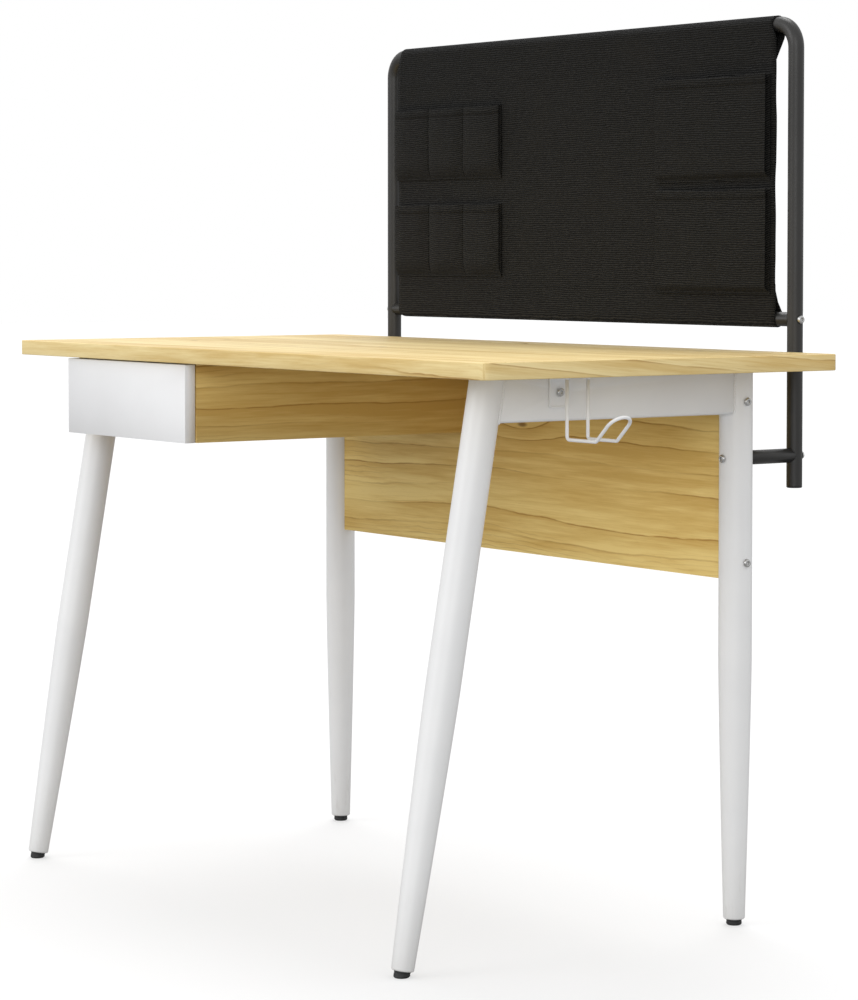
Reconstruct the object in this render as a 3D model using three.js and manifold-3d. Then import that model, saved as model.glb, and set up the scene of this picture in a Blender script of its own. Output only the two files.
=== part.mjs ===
// A study desk: a laminated top on two white steel side frames, a drawer hung under its left end,
// a modesty panel, a wire hook on the right rail, and a fabric pocket screen on a bent tube behind.
// Millimetres, +Z up. X runs along the desk, the user sits on the -Y side, and the floor is Z = 0.
import * as THREE from "three";
import { mergeVertices } from "three/addons/utils/BufferGeometryUtils.js";
import Module from "manifold-3d";

// ---------------------------------------------------------------------------------------------
// Driving dimensions
// ---------------------------------------------------------------------------------------------

const fit = 0.3; // gap between pieces that touch
const legSides = 30;
const tubeSides = 24;
const boltSides = 12;

// Table top
const topWidth = 1170;
const topDepth = 566;
const topThickness = 21;
const topHeight = 750; // upper face above the floor
const topCornerRadius = 12;
const topEdgeRound = 1;

// Legs: the back ones stand upright, the front ones splay forwards
const legRadius = 22;
const legWall = 1.5;
const legEndInset = 118; // end of the top to the legs' plane
const backLegInset = 73; // back edge of the top to the back legs' axis
const frontLegInset = 92; // front edge of the top to the front legs' axis, at the top's underside
const splay = THREE.MathUtils.degToRad(10);
const taperHeight = 350; // the legs narrow below this height
const taperFullness = 1.2; // 1 is a straight taper, more is fuller at the top
const legEndRadius = 13.9;
const legMouthRadius = 10.6; // opening that the foot is pushed into
const legMouthRound = 2.4; // how far the leg's lower end turns in

// Feet
const footRadius = 10.2;
const footHeight = 8; // visible below the leg
const footStem = 18; // hidden inside the leg
const footChamfer = 1.6;

// Side rails, welded between the front and the back leg
const railWidth = 31;
const railHeight = 58;
const railWall = 1.5;
const railCornerRadius = 4;

// Modesty panel
const panelThickness = 15;
const panelHeight = 275;
const panelBoltDrops = { upper: 42, lower: 252 }; // below the top's underside

// Bolts and screws
const boltRadius = 3;
const boltClearance = 0.3;
const boltHeadRadius = 5.4;
const boltHeadHeight = 3.4;
const socketRadius = 2.3;
const socketDepth = 1.9;
const boltGrip = 20; // how far a bolt reaches into what it holds
const insertRadius = 5;
const insertLength = 24;

// Drawer case and drawer
const frontWidth = 330;
const frontHeight = 107.5;
const frontThickness = 16;
const frontSetback = 6; // behind the front edge of the top
const frontTopGap = 2;
const caseBoard = 15;
const caseLegGap = 0.4;
const caseFrontGap = 2; // between the case's edge and the closed drawer front
const boxBoard = 12;
const boxHeight = 76;
const boxDepth = 380;
const boxRise = 12; // lower edge of the drawer box above the lower edge of its front
const bottomBoard = 3;
const bottomGroove = 5; // how deep the bottom sits in the boards round it
const bottomRise = 8; // lower face of the bottom above the box's lower edge
const angleWidth = 15;
const angleWall = 1.5;
const angleLength = 300;

// Three-member runners
const runnerGap = 12.7; // between the case side and the drawer box
const runnerHeight = 35;
const runnerWall = 1.2;
const runnerPlay = 0.8; // between one member's flange and the next
const runnerLength = 350;
const runnerRise = 20; // lower edge of the runner above the box's lower edge

// Screen frame behind the desk
const postRadius = 10.5;
const postWall = 1.5;
const screenStandoff = 101.5; // back legs' axis to the posts' axis
const screenRise = 442; // upper face of the table top to the top of the bent tube
const postTail = 40.5; // arms' axis to the posts' lower ends
const bendRadius = 32; // at the tube's centre line
const crossbarRadius = 9.5;
const crossbarRise = 42; // upper face of the table top to the crossbar's axis
const crossbarWall = 1.5;
const armRadius = 9.5;
const armDrop = 116.5; // underside of the table top to the arms' axis
const capFlange = 2.5;
const capStem = 20;

// Fabric screen, sewn into a sleeve round the bent tube and round the crossbar
const fabricPostGap = 17.5; // between the fabric's side edge and the post beside it
const fabricThickness = 1.5;
const sleeveSlack = 0.5;
const topSeamDrop = 47; // sleeve's seam below the tube's centre line
const lowSeamRise = 38; // sleeve's seam above the crossbar's centre line

// Pockets sewn on the fabric's front
const pocketWall = 1.2;
const smallPocketWidth = 90;
const smallPocketHeight = 108;
const smallPocketDepth = 8.5;
const smallPocketCount = 3;
const smallPocketDrops = { upper: 202, lower: 348 }; // top of the bent tube to the lower edges
const largePocketWidth = 236;
const largePocketHeight = 141;
const largePocketDepth = 12;
const largePocketInset = 8; // from the fabric's right edge
const largePocketDrops = { upper: 216, lower: 368 };

// Wire hook on the right rail
const hookInset = 191; // front edge of the top to the middle of the hook
const hookPlateWidth = 33;
const hookPlateDrop = 42; // from the underside of the top to the plate's lower edge
const hookPlateWall = 2;
const hookScrewDrop = 22;
const hookFlange = 40; // how far the bracket runs out under the top
const wireRadius = 2.2;
const wireSpacing = 32.4;
const wireInset = 2.6; // from the flange's outer edge to the wire's axis
const wireDrop = 79; // underside of the top to the axis of the lower run
const wireReach = 58; // length of the lower run
const wireRise = THREE.MathUtils.degToRad(42);
const wireLoop = 30; // straight part of the rising loop
const wireBend = 5;

// Places worked out from the sizes above
const underside = topHeight - topThickness;
const frameTop = underside - fit;
const legX = topWidth / 2 - legEndInset;
const backLegY = topDepth / 2 - backLegInset;
const frontLegTopY = frontLegInset - topDepth / 2;
const frontFootY = frontLegTopY - underside * Math.tan(splay);
const postY = backLegY + screenStandoff;
const screenTop = topHeight + screenRise;
const barZ = screenTop - postRadius;
const crossbarZ = topHeight + crossbarRise;
const armZ = underside - armDrop;
const screenFoot = armZ - postTail;
const fabricWidth = 2 * (legX - postRadius - fabricPostGap);
const quarter = Math.PI / 2;

// ---------------------------------------------------------------------------------------------
// Finishes
// ---------------------------------------------------------------------------------------------

const finish = (color, roughness, metalness = 0) =>
  new THREE.MeshStandardMaterial({ color, roughness, metalness });
const pine = finish(0xdcc38a, 0.5);
const whiteBoard = finish(0xececec, 0.45);
const drawerBoard = finish(0xd8c08c, 0.6);
const hardboard = finish(0xb59a6c, 0.75);
const whiteSteel = finish(0xe6e6e6, 0.4);
const blackSteel = finish(0x3a3936, 0.45, 0.1);
const brightSteel = finish(0xb4b4b2, 0.3, 1);
const blackPlastic = finish(0x232323, 0.6);
const blackFabric = finish(0x262522, 0.9);

// ---------------------------------------------------------------------------------------------
// Shapes and solids
// ---------------------------------------------------------------------------------------------

const manifold = await Module();
manifold.setup();

// A closed geometry as a solid that can be cut and joined.
function solidOf(geometry) {
  const bare = geometry.clone();
  bare.deleteAttribute("normal");
  bare.deleteAttribute("uv");
  const merged = mergeVertices(bare, 1e-4);
  return new manifold.Manifold(
    new manifold.Mesh({
      numProp: 3,
      vertProperties: new Float32Array(merged.attributes.position.array),
      triVerts: new Uint32Array(merged.index.array),
    }),
  );
}

// A solid as a flat-shaded geometry.
function geometryOf(solid) {
  const { vertProperties, triVerts } = solid.getMesh();
  const geometry = new THREE.BufferGeometry()
    .setAttribute("position", new THREE.BufferAttribute(vertProperties, 3))
    .setIndex(new THREE.BufferAttribute(triVerts, 1))
    .toNonIndexed();
  geometry.computeVertexNormals();
  return geometry;
}

function cut(body, ...tools) {
  return geometryOf(tools.reduce((s, tool) => s.subtract(solidOf(tool)), solidOf(body)));
}

function join(first, ...others) {
  return geometryOf(others.reduce((s, other) => s.add(solidOf(other)), solidOf(first)));
}

// A box between two corners.
function block([x0, y0, z0], [x1, y1, z1]) {
  return new THREE.BoxGeometry(x1 - x0, y1 - y0, z1 - z0).translate(
    (x0 + x1) / 2,
    (y0 + y1) / 2,
    (z0 + z1) / 2,
  );
}

// A profile of [radius, height] points, turned round +Z.
function turned(profile, sides = tubeSides) {
  const points = profile.map(([r, z]) => new THREE.Vector2(r, z));
  return new THREE.LatheGeometry(points, sides).rotateX(quarter);
}

function rod(radius, length, sides = boltSides) {
  return turned([[0, 0], [radius, 0], [radius, length], [0, length]], sides);
}

function pipe(outer, inner, length, sides = tubeSides) {
  const profile = [[inner, 0], [outer, 0], [outer, length], [inner, length], [inner, 0]];
  return turned(profile, sides);
}

// Turn a piece that runs along +Z so that it runs along another direction.
const alongX = (geometry, sense = 1) => geometry.rotateY(sense * quarter);
const alongY = (geometry, sense = 1) => geometry.rotateX(-sense * quarter);

function roundedRectangle(width, height, radius) {
  const [w, h] = [width / 2 - radius, height / 2 - radius];
  const shape = new THREE.Shape();
  shape.absarc(w, h, radius, 0, quarter, false);
  shape.absarc(-w, h, radius, quarter, 2 * quarter, false);
  shape.absarc(-w, -h, radius, 2 * quarter, 3 * quarter, false);
  shape.absarc(w, -h, radius, 3 * quarter, 4 * quarter, false);
  return shape;
}

// A shape drawn in X and Z, run from one Y to a larger one.
function runAlongY(shape, y0, y1, curveSegments = 4) {
  const options = { depth: y1 - y0, bevelEnabled: false, curveSegments };
  return new THREE.ExtrudeGeometry(shape, options).rotateX(quarter).translate(0, y1, 0);
}

// A shape drawn in Y and Z, run from one X to a larger one.
const standUp = new THREE.Matrix4().makeBasis(
  new THREE.Vector3(0, 1, 0),
  new THREE.Vector3(0, 0, 1),
  new THREE.Vector3(1, 0, 0),
);
function runAlongX(shape, x0, x1, curveSegments = 10) {
  const options = { depth: x1 - x0, bevelEnabled: false, curveSegments };
  return new THREE.ExtrudeGeometry(shape, options).applyMatrix4(standUp).translate(x0, 0, 0);
}

function polygon(points) {
  return new THREE.Shape(points.map(([x, y]) => new THREE.Vector2(x, y)));
}

// The centre line of a rod bent at each inner point, with one radius for each bend.
function bentLine(points, radii) {
  const line = new THREE.CurvePath();
  let from = points[0];
  radii.forEach((radius, i) => {
    const corner = points[i + 1];
    const before = corner.clone().sub(points[i]).normalize();
    const after = points[i + 2].clone().sub(corner).normalize();
    const turn = before.angleTo(after);
    const start = corner.clone().addScaledVector(before, -radius * Math.tan(turn / 2));
    const end = corner.clone().addScaledVector(after, radius * Math.tan(turn / 2));
    const handle = (4 / 3) * Math.tan(turn / 4) * radius;
    if (from.distanceTo(start) > 1e-3) line.add(new THREE.LineCurve3(from, start));
    line.add(
      new THREE.CubicBezierCurve3(
        start,
        start.clone().addScaledVector(before, handle),
        end.clone().addScaledVector(after, -handle),
        end,
      ),
    );
    from = end;
  });
  line.add(new THREE.LineCurve3(from, points.at(-1)));
  return line;
}

// A round-headed bolt with a hexagon socket: its head stands above Z = 0, its shank runs down.
function bolt(length) {
  const profile = [
    [0, -length],
    [boltRadius, -length],
    [boltRadius, 0],
    [boltHeadRadius, 0],
    [boltHeadRadius, 0.35 * boltHeadHeight],
    [0.82 * boltHeadRadius, 0.8 * boltHeadHeight],
    [0.5 * boltHeadRadius, boltHeadHeight],
    [0, boltHeadHeight],
  ];
  const socket = rod(socketRadius, 2 * socketDepth, 6);
  return cut(turned(profile, boltSides), socket.translate(0, 0, boltHeadHeight - socketDepth));
}

const boltHole = (length) => rod(boltRadius + boltClearance, length);

const desk = new THREE.Group();

function add(name, geometry, material, parent = desk, place = [0, 0, 0]) {
  const mesh = new THREE.Mesh(geometry, material);
  mesh.name = name;
  mesh.position.set(...place);
  parent.add(mesh);
  return mesh;
}

function groupAt(x, y, z, parent = desk) {
  const group = new THREE.Group();
  group.position.set(x, y, z);
  parent.add(group);
  return group;
}

const sides = { left: -1, right: 1 };

// ---------------------------------------------------------------------------------------------
// Side frames: two legs, a rail, two feet
// ---------------------------------------------------------------------------------------------

// The outer radius of a leg at a height along its axis.
function legRadiusAt(height) {
  const share = Math.min(height / taperHeight, 1);
  return legEndRadius + (legRadius - legEndRadius) * (1 - (1 - share) ** taperFullness);
}

// A leg's tube, from its mouth up along +Z.
function legTube(length) {
  const start = footHeight + legMouthRound;
  const outer = [0, 0.2, 0.4, 0.6, 0.8, 1].map((share) => {
    const z = start + (taperHeight - start) * share;
    return [legRadiusAt(z), z];
  });
  return turned(
    [
      [legMouthRadius, footHeight],
      [legEndRadius - legMouthRound / 2, footHeight],
      ...outer,
      [legRadius, length],
      [legRadius - legWall, length],
      [legRadius - legWall, taperHeight],
      [legRadiusAt(start) - legWall, start + legWall],
      [legMouthRadius, footHeight + legWall],
      [legMouthRadius, footHeight],
    ],
    legSides,
  );
}

// A push-in foot, flat on the floor.
function foot() {
  const top = footHeight + footStem;
  return turned(
    [
      [0, -footHeight],
      [footRadius, -footHeight],
      [footRadius, top - footChamfer],
      [footRadius - footChamfer, top],
      [0, top],
    ],
    tubeSides,
  );
}

const footSole = turned(
  [
    [footRadius - footChamfer, 0],
    [3 * footRadius, 0],
    [3 * footRadius, footChamfer],
    [footRadius, footChamfer],
    [footRadius - footChamfer, 0],
  ],
  tubeSides,
);

const belowFloor = block([-topDepth, -topDepth, -topDepth], [topDepth, topDepth, 0]);
const aboveFrame = block([-topDepth, -topDepth, frameTop], [topDepth, topDepth, 2 * topHeight]);
const railMiddleY = (frontLegTopY + backLegY) / 2;
const topScrewReach = topThickness - 6;
const topScrewYs = { front: railMiddleY - 130, back: railMiddleY + 130 };
const hookY = hookInset - topDepth / 2;

// From upright at the origin to where each leg's parts stand.
const onFrontLeg = (geometry) => geometry.rotateX(-splay).translate(0, frontFootY, 0);
const onBackLeg = (geometry) => geometry.translate(0, backLegY, 0);

function frontLeg() {
  const length = underside / Math.cos(splay) + 2 * legRadius * Math.tan(splay);
  return cut(onFrontLeg(legTube(length)), aboveFrame);
}

function backLeg() {
  const through = 2 * legRadius + 2;
  const holes = Object.values(panelBoltDrops).map((drop) =>
    alongX(boltHole(through)).translate(-through / 2, backLegY, underside - drop),
  );
  holes.push(alongY(boltHole(through)).translate(0, backLegY - through / 2, armZ));
  return cut(onBackLeg(legTube(frameTop)), ...holes);
}

function sideRail(side) {
  const outline = roundedRectangle(railWidth, railHeight, railCornerRadius);
  const hollow = roundedRectangle(
    railWidth - 2 * railWall,
    railHeight - 2 * railWall,
    railCornerRadius - railWall,
  );
  outline.holes.push(new THREE.Path(hollow.getPoints(4)));
  const railY0 = frontLegTopY - (railHeight / 2) * Math.tan(splay);
  const rail = runAlongY(outline, railY0, backLegY).translate(0, 0, frameTop - railHeight / 2);
  const clear = legRadius + fit;
  const tools = [
    onFrontLeg(rod(clear, 2 * topHeight, legSides)),
    onBackLeg(rod(clear, 2 * topHeight, legSides)),
  ];
  for (const y of Object.values(topScrewYs)) {
    const access = rod(boltHeadRadius + 2, railHeight / 2);
    tools.push(access.translate(0, y, frameTop - railHeight - 1));
    tools.push(boltHole(railHeight).translate(0, y, frameTop - 2 * railWall));
  }
  if (side > 0) {
    const hookHole = alongX(boltHole(railWidth / 2));
    tools.push(hookHole.translate(railWidth / 4, hookY, underside - hookScrewDrop));
  }
  return cut(rail, ...tools);
}

for (const [name, side] of Object.entries(sides)) {
  const frame = groupAt(side * legX, 0, 0);
  add(`front_leg_${name}`, frontLeg(), whiteSteel, frame);
  add(`back_leg_${name}`, backLeg(), whiteSteel, frame);
  add(`side_rail_${name}`, sideRail(side), whiteSteel, frame);
  const frontSole = footSole.clone().translate(0, frontFootY, 0);
  const frontFoot = cut(onFrontLeg(foot()), belowFloor, frontSole);
  add(`foot_front_${name}`, frontFoot, blackPlastic, frame);
  const backFoot = cut(onBackLeg(foot()), belowFloor, onBackLeg(footSole.clone()));
  add(`foot_back_${name}`, backFoot, blackPlastic, frame);
  for (const [end, y] of Object.entries(topScrewYs)) {
    const screw = bolt(topScrewReach + railWall + 2 * fit).rotateX(2 * quarter);
    const place = [0, y, frameTop - railWall - fit];
    add(`top_screw_${end}_${name}`, screw, brightSteel, frame, place);
  }
}

// ---------------------------------------------------------------------------------------------
// Table top
// ---------------------------------------------------------------------------------------------

function tableTop() {
  const shape = roundedRectangle(
    topWidth - 2 * topEdgeRound,
    topDepth - 2 * topEdgeRound,
    topCornerRadius - topEdgeRound,
  );
  const board = new THREE.ExtrudeGeometry(shape, {
    depth: topThickness - 2 * topEdgeRound,
    bevelThickness: topEdgeRound,
    bevelSize: topEdgeRound,
    bevelSegments: 2,
    curveSegments: 4,
  }).translate(0, 0, underside + topEdgeRound);
  const pilots = Object.values(sides).flatMap((side) =>
    Object.values(topScrewYs).map((y) =>
      boltHole(topScrewReach + 1).translate(side * legX, y, underside - 1 + fit),
    ),
  );
  return cut(board, ...pilots);
}

add("table_top", tableTop(), pine);

// ---------------------------------------------------------------------------------------------
// Modesty panel between the back legs, with its bolts and threaded inserts
// ---------------------------------------------------------------------------------------------

const panelHalf = legX - legRadius - fit;

function modestyPanel() {
  const y0 = backLegY - panelThickness / 2;
  const board = block([-panelHalf, y0, frameTop - panelHeight], [panelHalf, y0 + panelThickness, frameTop]);
  const pockets = Object.values(sides).flatMap((side) =>
    Object.values(panelBoltDrops).map((drop) =>
      alongX(rod(insertRadius + fit, 2 * (insertLength + fit)), side).translate(
        side * (panelHalf - insertLength - fit),
        backLegY,
        underside - drop,
      ),
    ),
  );
  return cut(board, ...pockets);
}

add("modesty_panel", modestyPanel(), pine);

for (const [name, side] of Object.entries(sides)) {
  for (const [level, drop] of Object.entries(panelBoltDrops)) {
    const z = underside - drop;
    const headX = legX + legRadius + fit;
    const screw = alongX(bolt(2 * (legRadius + fit) + boltGrip), side);
    add(`panel_bolt_${level}_${name}`, screw, brightSteel, desk, [side * headX, backLegY, z]);
    const insert = alongX(pipe(insertRadius, boltRadius + boltClearance, insertLength, boltSides), side);
    const insertX = side * (panelHalf - insertLength);
    add(`panel_insert_${level}_${name}`, insert, brightSteel, desk, [insertX, backLegY, z]);
  }
}

// ---------------------------------------------------------------------------------------------
// Drawer case: two boards hung under the top, held by steel angles
// ---------------------------------------------------------------------------------------------

const frontX0 = -(legX - legRadius) + caseLegGap;
const frontX1 = frontX0 + frontWidth;
const frontY0 = frontSetback - topDepth / 2;
const frontY1 = frontY0 + frontThickness;
const frontZ1 = underside - frontTopGap;
const frontZ0 = frontZ1 - frontHeight;
const caseY0 = frontY1 + caseFrontGap;
const caseY1 = backLegY - panelThickness / 2 - fit;
const caseX = { left: frontX0, right: frontX1 - caseBoard };
const innerX = { left: frontX0 + caseBoard, right: frontX1 - caseBoard };

for (const [name, x0] of Object.entries(caseX)) {
  const board = block([x0, caseY0, frontZ0], [x0 + caseBoard, caseY1, frameTop]);
  add(`drawer_case_side_${name}`, board, pine);
}

for (const [name, side] of Object.entries(sides)) {
  const profile = polygon([
    [0, 0],
    [0, -angleWidth],
    [-side * angleWall, -angleWidth],
    [-side * angleWall, -angleWall],
    [-side * angleWidth, -angleWall],
    [-side * angleWidth, 0],
  ]);
  const angleY0 = (caseY0 + caseY1 - angleLength) / 2;
  const angle = runAlongY(profile, angleY0, angleY0 + angleLength);
  const place = [innerX[name] - side * fit, 0, frameTop];
  add(`drawer_case_angle_${name}`, angle, brightSteel, desk, place);
}

// ---------------------------------------------------------------------------------------------
// Drawer: white front, two sides, a back, and a bottom held in a groove all round
// ---------------------------------------------------------------------------------------------

const boxX0 = innerX.left + runnerGap;
const boxX1 = innerX.right - runnerGap;
const boxY0 = frontY1 + fit;
const boxY1 = boxY0 + boxDepth;
const boxZ0 = frontZ0 + boxRise;
const boxZ1 = boxZ0 + boxHeight;
const bottomZ0 = boxZ0 + bottomRise;
const groove = block(
  [boxX0 + boxBoard - bottomGroove, boxY0 - bottomGroove, bottomZ0 - fit],
  [boxX1 - boxBoard + bottomGroove, boxY1 - boxBoard + bottomGroove, bottomZ0 + bottomBoard + fit],
);
const bottom = block(
  [boxX0 + boxBoard - bottomGroove + fit, boxY0 - bottomGroove + fit, bottomZ0],
  [boxX1 - boxBoard + bottomGroove - fit, boxY1 - boxBoard + bottomGroove - fit, bottomZ0 + bottomBoard],
);

const front = block([frontX0, frontY0, frontZ0], [frontX1, frontY1, frontZ1]);
add("drawer_front", cut(front, groove), whiteBoard);
for (const [name, x0] of Object.entries({ left: boxX0, right: boxX1 - boxBoard })) {
  const board = block([x0, boxY0, boxZ0], [x0 + boxBoard, boxY1, boxZ1]);
  add(`drawer_side_${name}`, cut(board, groove), drawerBoard);
}
const back = block(
  [boxX0 + boxBoard + fit, boxY1 - boxBoard, boxZ0],
  [boxX1 - boxBoard - fit, boxY1, boxZ1],
);
add("drawer_back", cut(back, groove), drawerBoard);
add("drawer_bottom", bottom, hardboard);

// ---------------------------------------------------------------------------------------------
// Runners: three nested channels on each side of the drawer
// ---------------------------------------------------------------------------------------------

// A channel whose web stands at x = 0 and whose flanges run towards +X.
function channel(height, depth) {
  const [h, w] = [height / 2, runnerWall];
  const outline = polygon([
    [0, -h], [depth, -h], [depth, -h + w], [w, -h + w],
    [w, h - w], [depth, h - w], [depth, h], [0, h],
  ]);
  return runAlongY(outline, 0, runnerLength);
}

const memberStep = runnerWall + runnerPlay;
const runnerZ = boxZ0 + runnerRise + runnerHeight / 2;
const nestedDepth = runnerGap - 2 * fit;

for (const [name, side] of Object.entries(sides)) {
  const runner = groupAt(innerX[name] - side * fit, caseY0, runnerZ);
  const turnIn = (member) =>
    side > 0 ? member.rotateZ(2 * quarter).translate(0, runnerLength, 0) : member;
  const outer = channel(runnerHeight, nestedDepth - memberStep);
  const middle = channel(runnerHeight - 2 * memberStep, nestedDepth - 2 * memberStep);
  const inner = channel(runnerHeight - 4 * memberStep, nestedDepth - 2 * memberStep);
  middle.translate(memberStep, 0, 0);
  inner.rotateZ(2 * quarter).translate(nestedDepth, runnerLength, 0);
  add(`runner_case_${name}`, turnIn(outer), brightSteel, runner);
  add(`runner_middle_${name}`, turnIn(middle), brightSteel, runner);
  add(`runner_drawer_${name}`, turnIn(inner), brightSteel, runner);
}

// ---------------------------------------------------------------------------------------------
// Screen frame: a bent tube, a crossbar, two arms and their bolts
// ---------------------------------------------------------------------------------------------

function screenFrame() {
  const section = new THREE.Shape().absarc(0, 0, postRadius, 0, 4 * quarter, false);
  section.holes.push(new THREE.Path().absarc(0, 0, postRadius - postWall, 0, 4 * quarter, false));
  const bend = (side) => {
    const corner = new THREE.Vector3(side * legX, postY, barZ);
    const below = corner.clone().setZ(barZ - bendRadius);
    const inward = corner.clone().setX(side * (legX - bendRadius));
    const handle = 0.5523 * bendRadius;
    const arc = new THREE.CubicBezierCurve3(
      below,
      below.clone().setZ(below.z + handle),
      inward.clone().setX(inward.x + side * handle),
      inward,
    );
    const options = { steps: 7, curveSegments: tubeSides / 2, extrudePath: arc };
    return new THREE.ExtrudeGeometry(section, options);
  };
  const overlap = 0.05;
  const postLength = barZ - bendRadius - screenFoot + overlap;
  const barHalf = legX - bendRadius + overlap;
  const straight = (length) => pipe(postRadius, postRadius - postWall, length);
  const frame = join(
    straight(postLength).translate(-legX, postY, screenFoot),
    bend(-1),
    alongX(straight(2 * barHalf)).translate(-barHalf, postY, barZ),
    bend(1),
    straight(postLength).translate(legX, postY, screenFoot),
  );
  const through = 2 * postRadius + 2;
  const holes = Object.values(sides).flatMap((side) => [
    alongY(boltHole(through)).translate(side * legX, postY - through / 2, armZ),
    alongX(boltHole(through)).translate(side * legX - through / 2, postY, crossbarZ),
  ]);
  return cut(frame, ...holes);
}

function crossbar() {
  const half = legX - postRadius / 2;
  const boreDepth = boltGrip + 2 * postRadius;
  const core = half - boreDepth;
  const posts = Object.values(sides).map((side) =>
    rod(postRadius + fit, 4 * crossbarRadius, tubeSides).translate(
      side * legX,
      postY,
      crossbarZ - 2 * crossbarRadius,
    ),
  );
  const bar = alongX(rod(crossbarRadius, 2 * half, tubeSides));
  const bore = alongX(boltHole(2 * half + 2));
  const hollow = alongX(rod(crossbarRadius - crossbarWall, 2 * core, tubeSides));
  return cut(
    bar.translate(-half, postY, crossbarZ),
    bore.translate(-half - 1, postY, crossbarZ),
    hollow.translate(-core, postY, crossbarZ),
    ...posts,
  );
}

// A spacer tube between a back leg and a post, its ends shaped to both.
function screenArm() {
  const tube = alongY(pipe(armRadius, boltRadius + boltClearance, screenStandoff));
  const shaper = (radius) => rod(radius + fit, 4 * armRadius, tubeSides).translate(0, 0, -2 * armRadius);
  return cut(tube, shaper(legRadius), shaper(postRadius).translate(0, screenStandoff, 0));
}

add("screen_frame", screenFrame(), blackSteel);
add("screen_crossbar", crossbar(), blackSteel);

for (const [name, side] of Object.entries(sides)) {
  const x = side * legX;
  add(`screen_arm_${name}`, screenArm(), blackSteel, desk, [x, backLegY, armZ]);
  const legBolt = alongY(bolt(2 * (legRadius + fit) + boltGrip), -1);
  const legBoltY = backLegY - legRadius - fit;
  add(`arm_bolt_leg_${name}`, legBolt, brightSteel, desk, [x, legBoltY, armZ]);
  const postBolt = alongY(bolt(2 * (postRadius + fit) + boltGrip));
  const postBoltY = postY + postRadius + fit;
  add(`arm_bolt_post_${name}`, postBolt, brightSteel, desk, [x, postBoltY, armZ]);
  const barBolt = alongX(bolt(2 * (postRadius + fit) + boltGrip), side);
  const barBoltX = x + side * (postRadius + fit);
  add(`crossbar_bolt_${name}`, barBolt, brightSteel, desk, [barBoltX, postY, crossbarZ]);
  const stemRadius = postRadius - postWall - fit;
  const cap = turned([
    [0, -capFlange],
    [postRadius - 1, -capFlange],
    [postRadius, -capFlange + 1],
    [postRadius, -fit],
    [stemRadius, -fit],
    [stemRadius, capStem],
    [0, capStem],
  ]);
  add(`post_cap_${name}`, cap, blackPlastic, desk, [x, postY, screenFoot]);
}

// ---------------------------------------------------------------------------------------------
// Fabric screen and its pockets
// ---------------------------------------------------------------------------------------------

// A sleeve's section: round a bar on its far side, closing on the sheet's face at the seam.
// The seam lies seamReach from the bar's centre, below it for a sleeve that opens downwards.
function sleeveOutline(radius, barHeight, seamReach, downwards) {
  const spread = 2 * Math.atan(radius / seamReach);
  const sense = downwards ? -1 : 1;
  const arc = new THREE.Path().absarc(postY, barHeight, radius, Math.PI, sense * spread, downwards);
  const seam = new THREE.Vector2(postY - radius, barHeight + sense * seamReach);
  const outline = [seam, ...arc.getPoints(12)];
  return downwards ? outline.reverse() : outline; // anticlockwise either way
}

function sleeve(barRadius, barHeight, seamReach, downwards) {
  const inner = barRadius + sleeveSlack;
  const outer = inner + fabricThickness;
  const allowance = 8;
  const ring = new THREE.Shape(sleeveOutline(outer, barHeight, seamReach + allowance, downwards));
  ring.holes.push(new THREE.Path(sleeveOutline(inner, barHeight, seamReach, downwards)));
  return runAlongX(ring, -fabricWidth / 2, fabricWidth / 2);
}

function fabricScreen() {
  const topInner = postY - postRadius - sleeveSlack;
  const lowInner = postY - crossbarRadius - sleeveSlack;
  const sheet = polygon([
    [topInner - fabricThickness, barZ],
    [lowInner - fabricThickness, crossbarZ],
    [lowInner, crossbarZ],
    [topInner, barZ],
  ]);
  return join(
    runAlongX(sheet, -fabricWidth / 2, fabricWidth / 2),
    sleeve(postRadius, barZ, topSeamDrop, true),
    sleeve(crossbarRadius, crossbarZ, lowSeamRise, false),
  );
}

add("screen_fabric", fabricScreen(), blackFabric);

// A row of pockets, open at the top and closed behind by the sheet it is sewn to.
function pocketRow(count, width, height, depth) {
  const body = block([0, -depth, 0], [count * width, 0, height]);
  const spaces = Array.from({ length: count }, (_, i) =>
    block(
      [i * width + pocketWall, pocketWall - depth, pocketWall],
      [(i + 1) * width - pocketWall, depth, 2 * height],
    ),
  );
  return cut(body, ...spaces);
}

// Where the back of a pocket stands, in front of the sheet, which leans a little between its bars.
function pocketY(foot, height) {
  const face = (z) => {
    const barRadiusAt = THREE.MathUtils.mapLinear(z, crossbarZ, barZ, crossbarRadius, postRadius);
    return postY - barRadiusAt - sleeveSlack - fabricThickness;
  };
  return Math.min(face(foot), face(foot + height)) - fit;
}

const smallPocketX = -fabricWidth / 2;
const largePocketX = fabricWidth / 2 - largePocketInset - largePocketWidth;

for (const [row, drop] of Object.entries(smallPocketDrops)) {
  const pockets = pocketRow(smallPocketCount, smallPocketWidth, smallPocketHeight, smallPocketDepth);
  const pocketZ = screenTop - drop;
  const place = [smallPocketX, pocketY(pocketZ, smallPocketHeight), pocketZ];
  add(`small_pockets_${row}`, pockets, blackFabric, desk, place);
}
for (const [row, drop] of Object.entries(largePocketDrops)) {
  const pocket = pocketRow(1, largePocketWidth, largePocketHeight, largePocketDepth);
  const pocketZ = screenTop - drop;
  const place = [largePocketX, pocketY(pocketZ, largePocketHeight), pocketZ];
  add(`large_pocket_${row}`, pocket, blackFabric, desk, place);
}

// ---------------------------------------------------------------------------------------------
// Wire hook: an angled bracket screwed to the right rail, and one bent wire
// ---------------------------------------------------------------------------------------------

const hook = groupAt(legX + railWidth / 2 + fit, hookY, underside);

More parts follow.
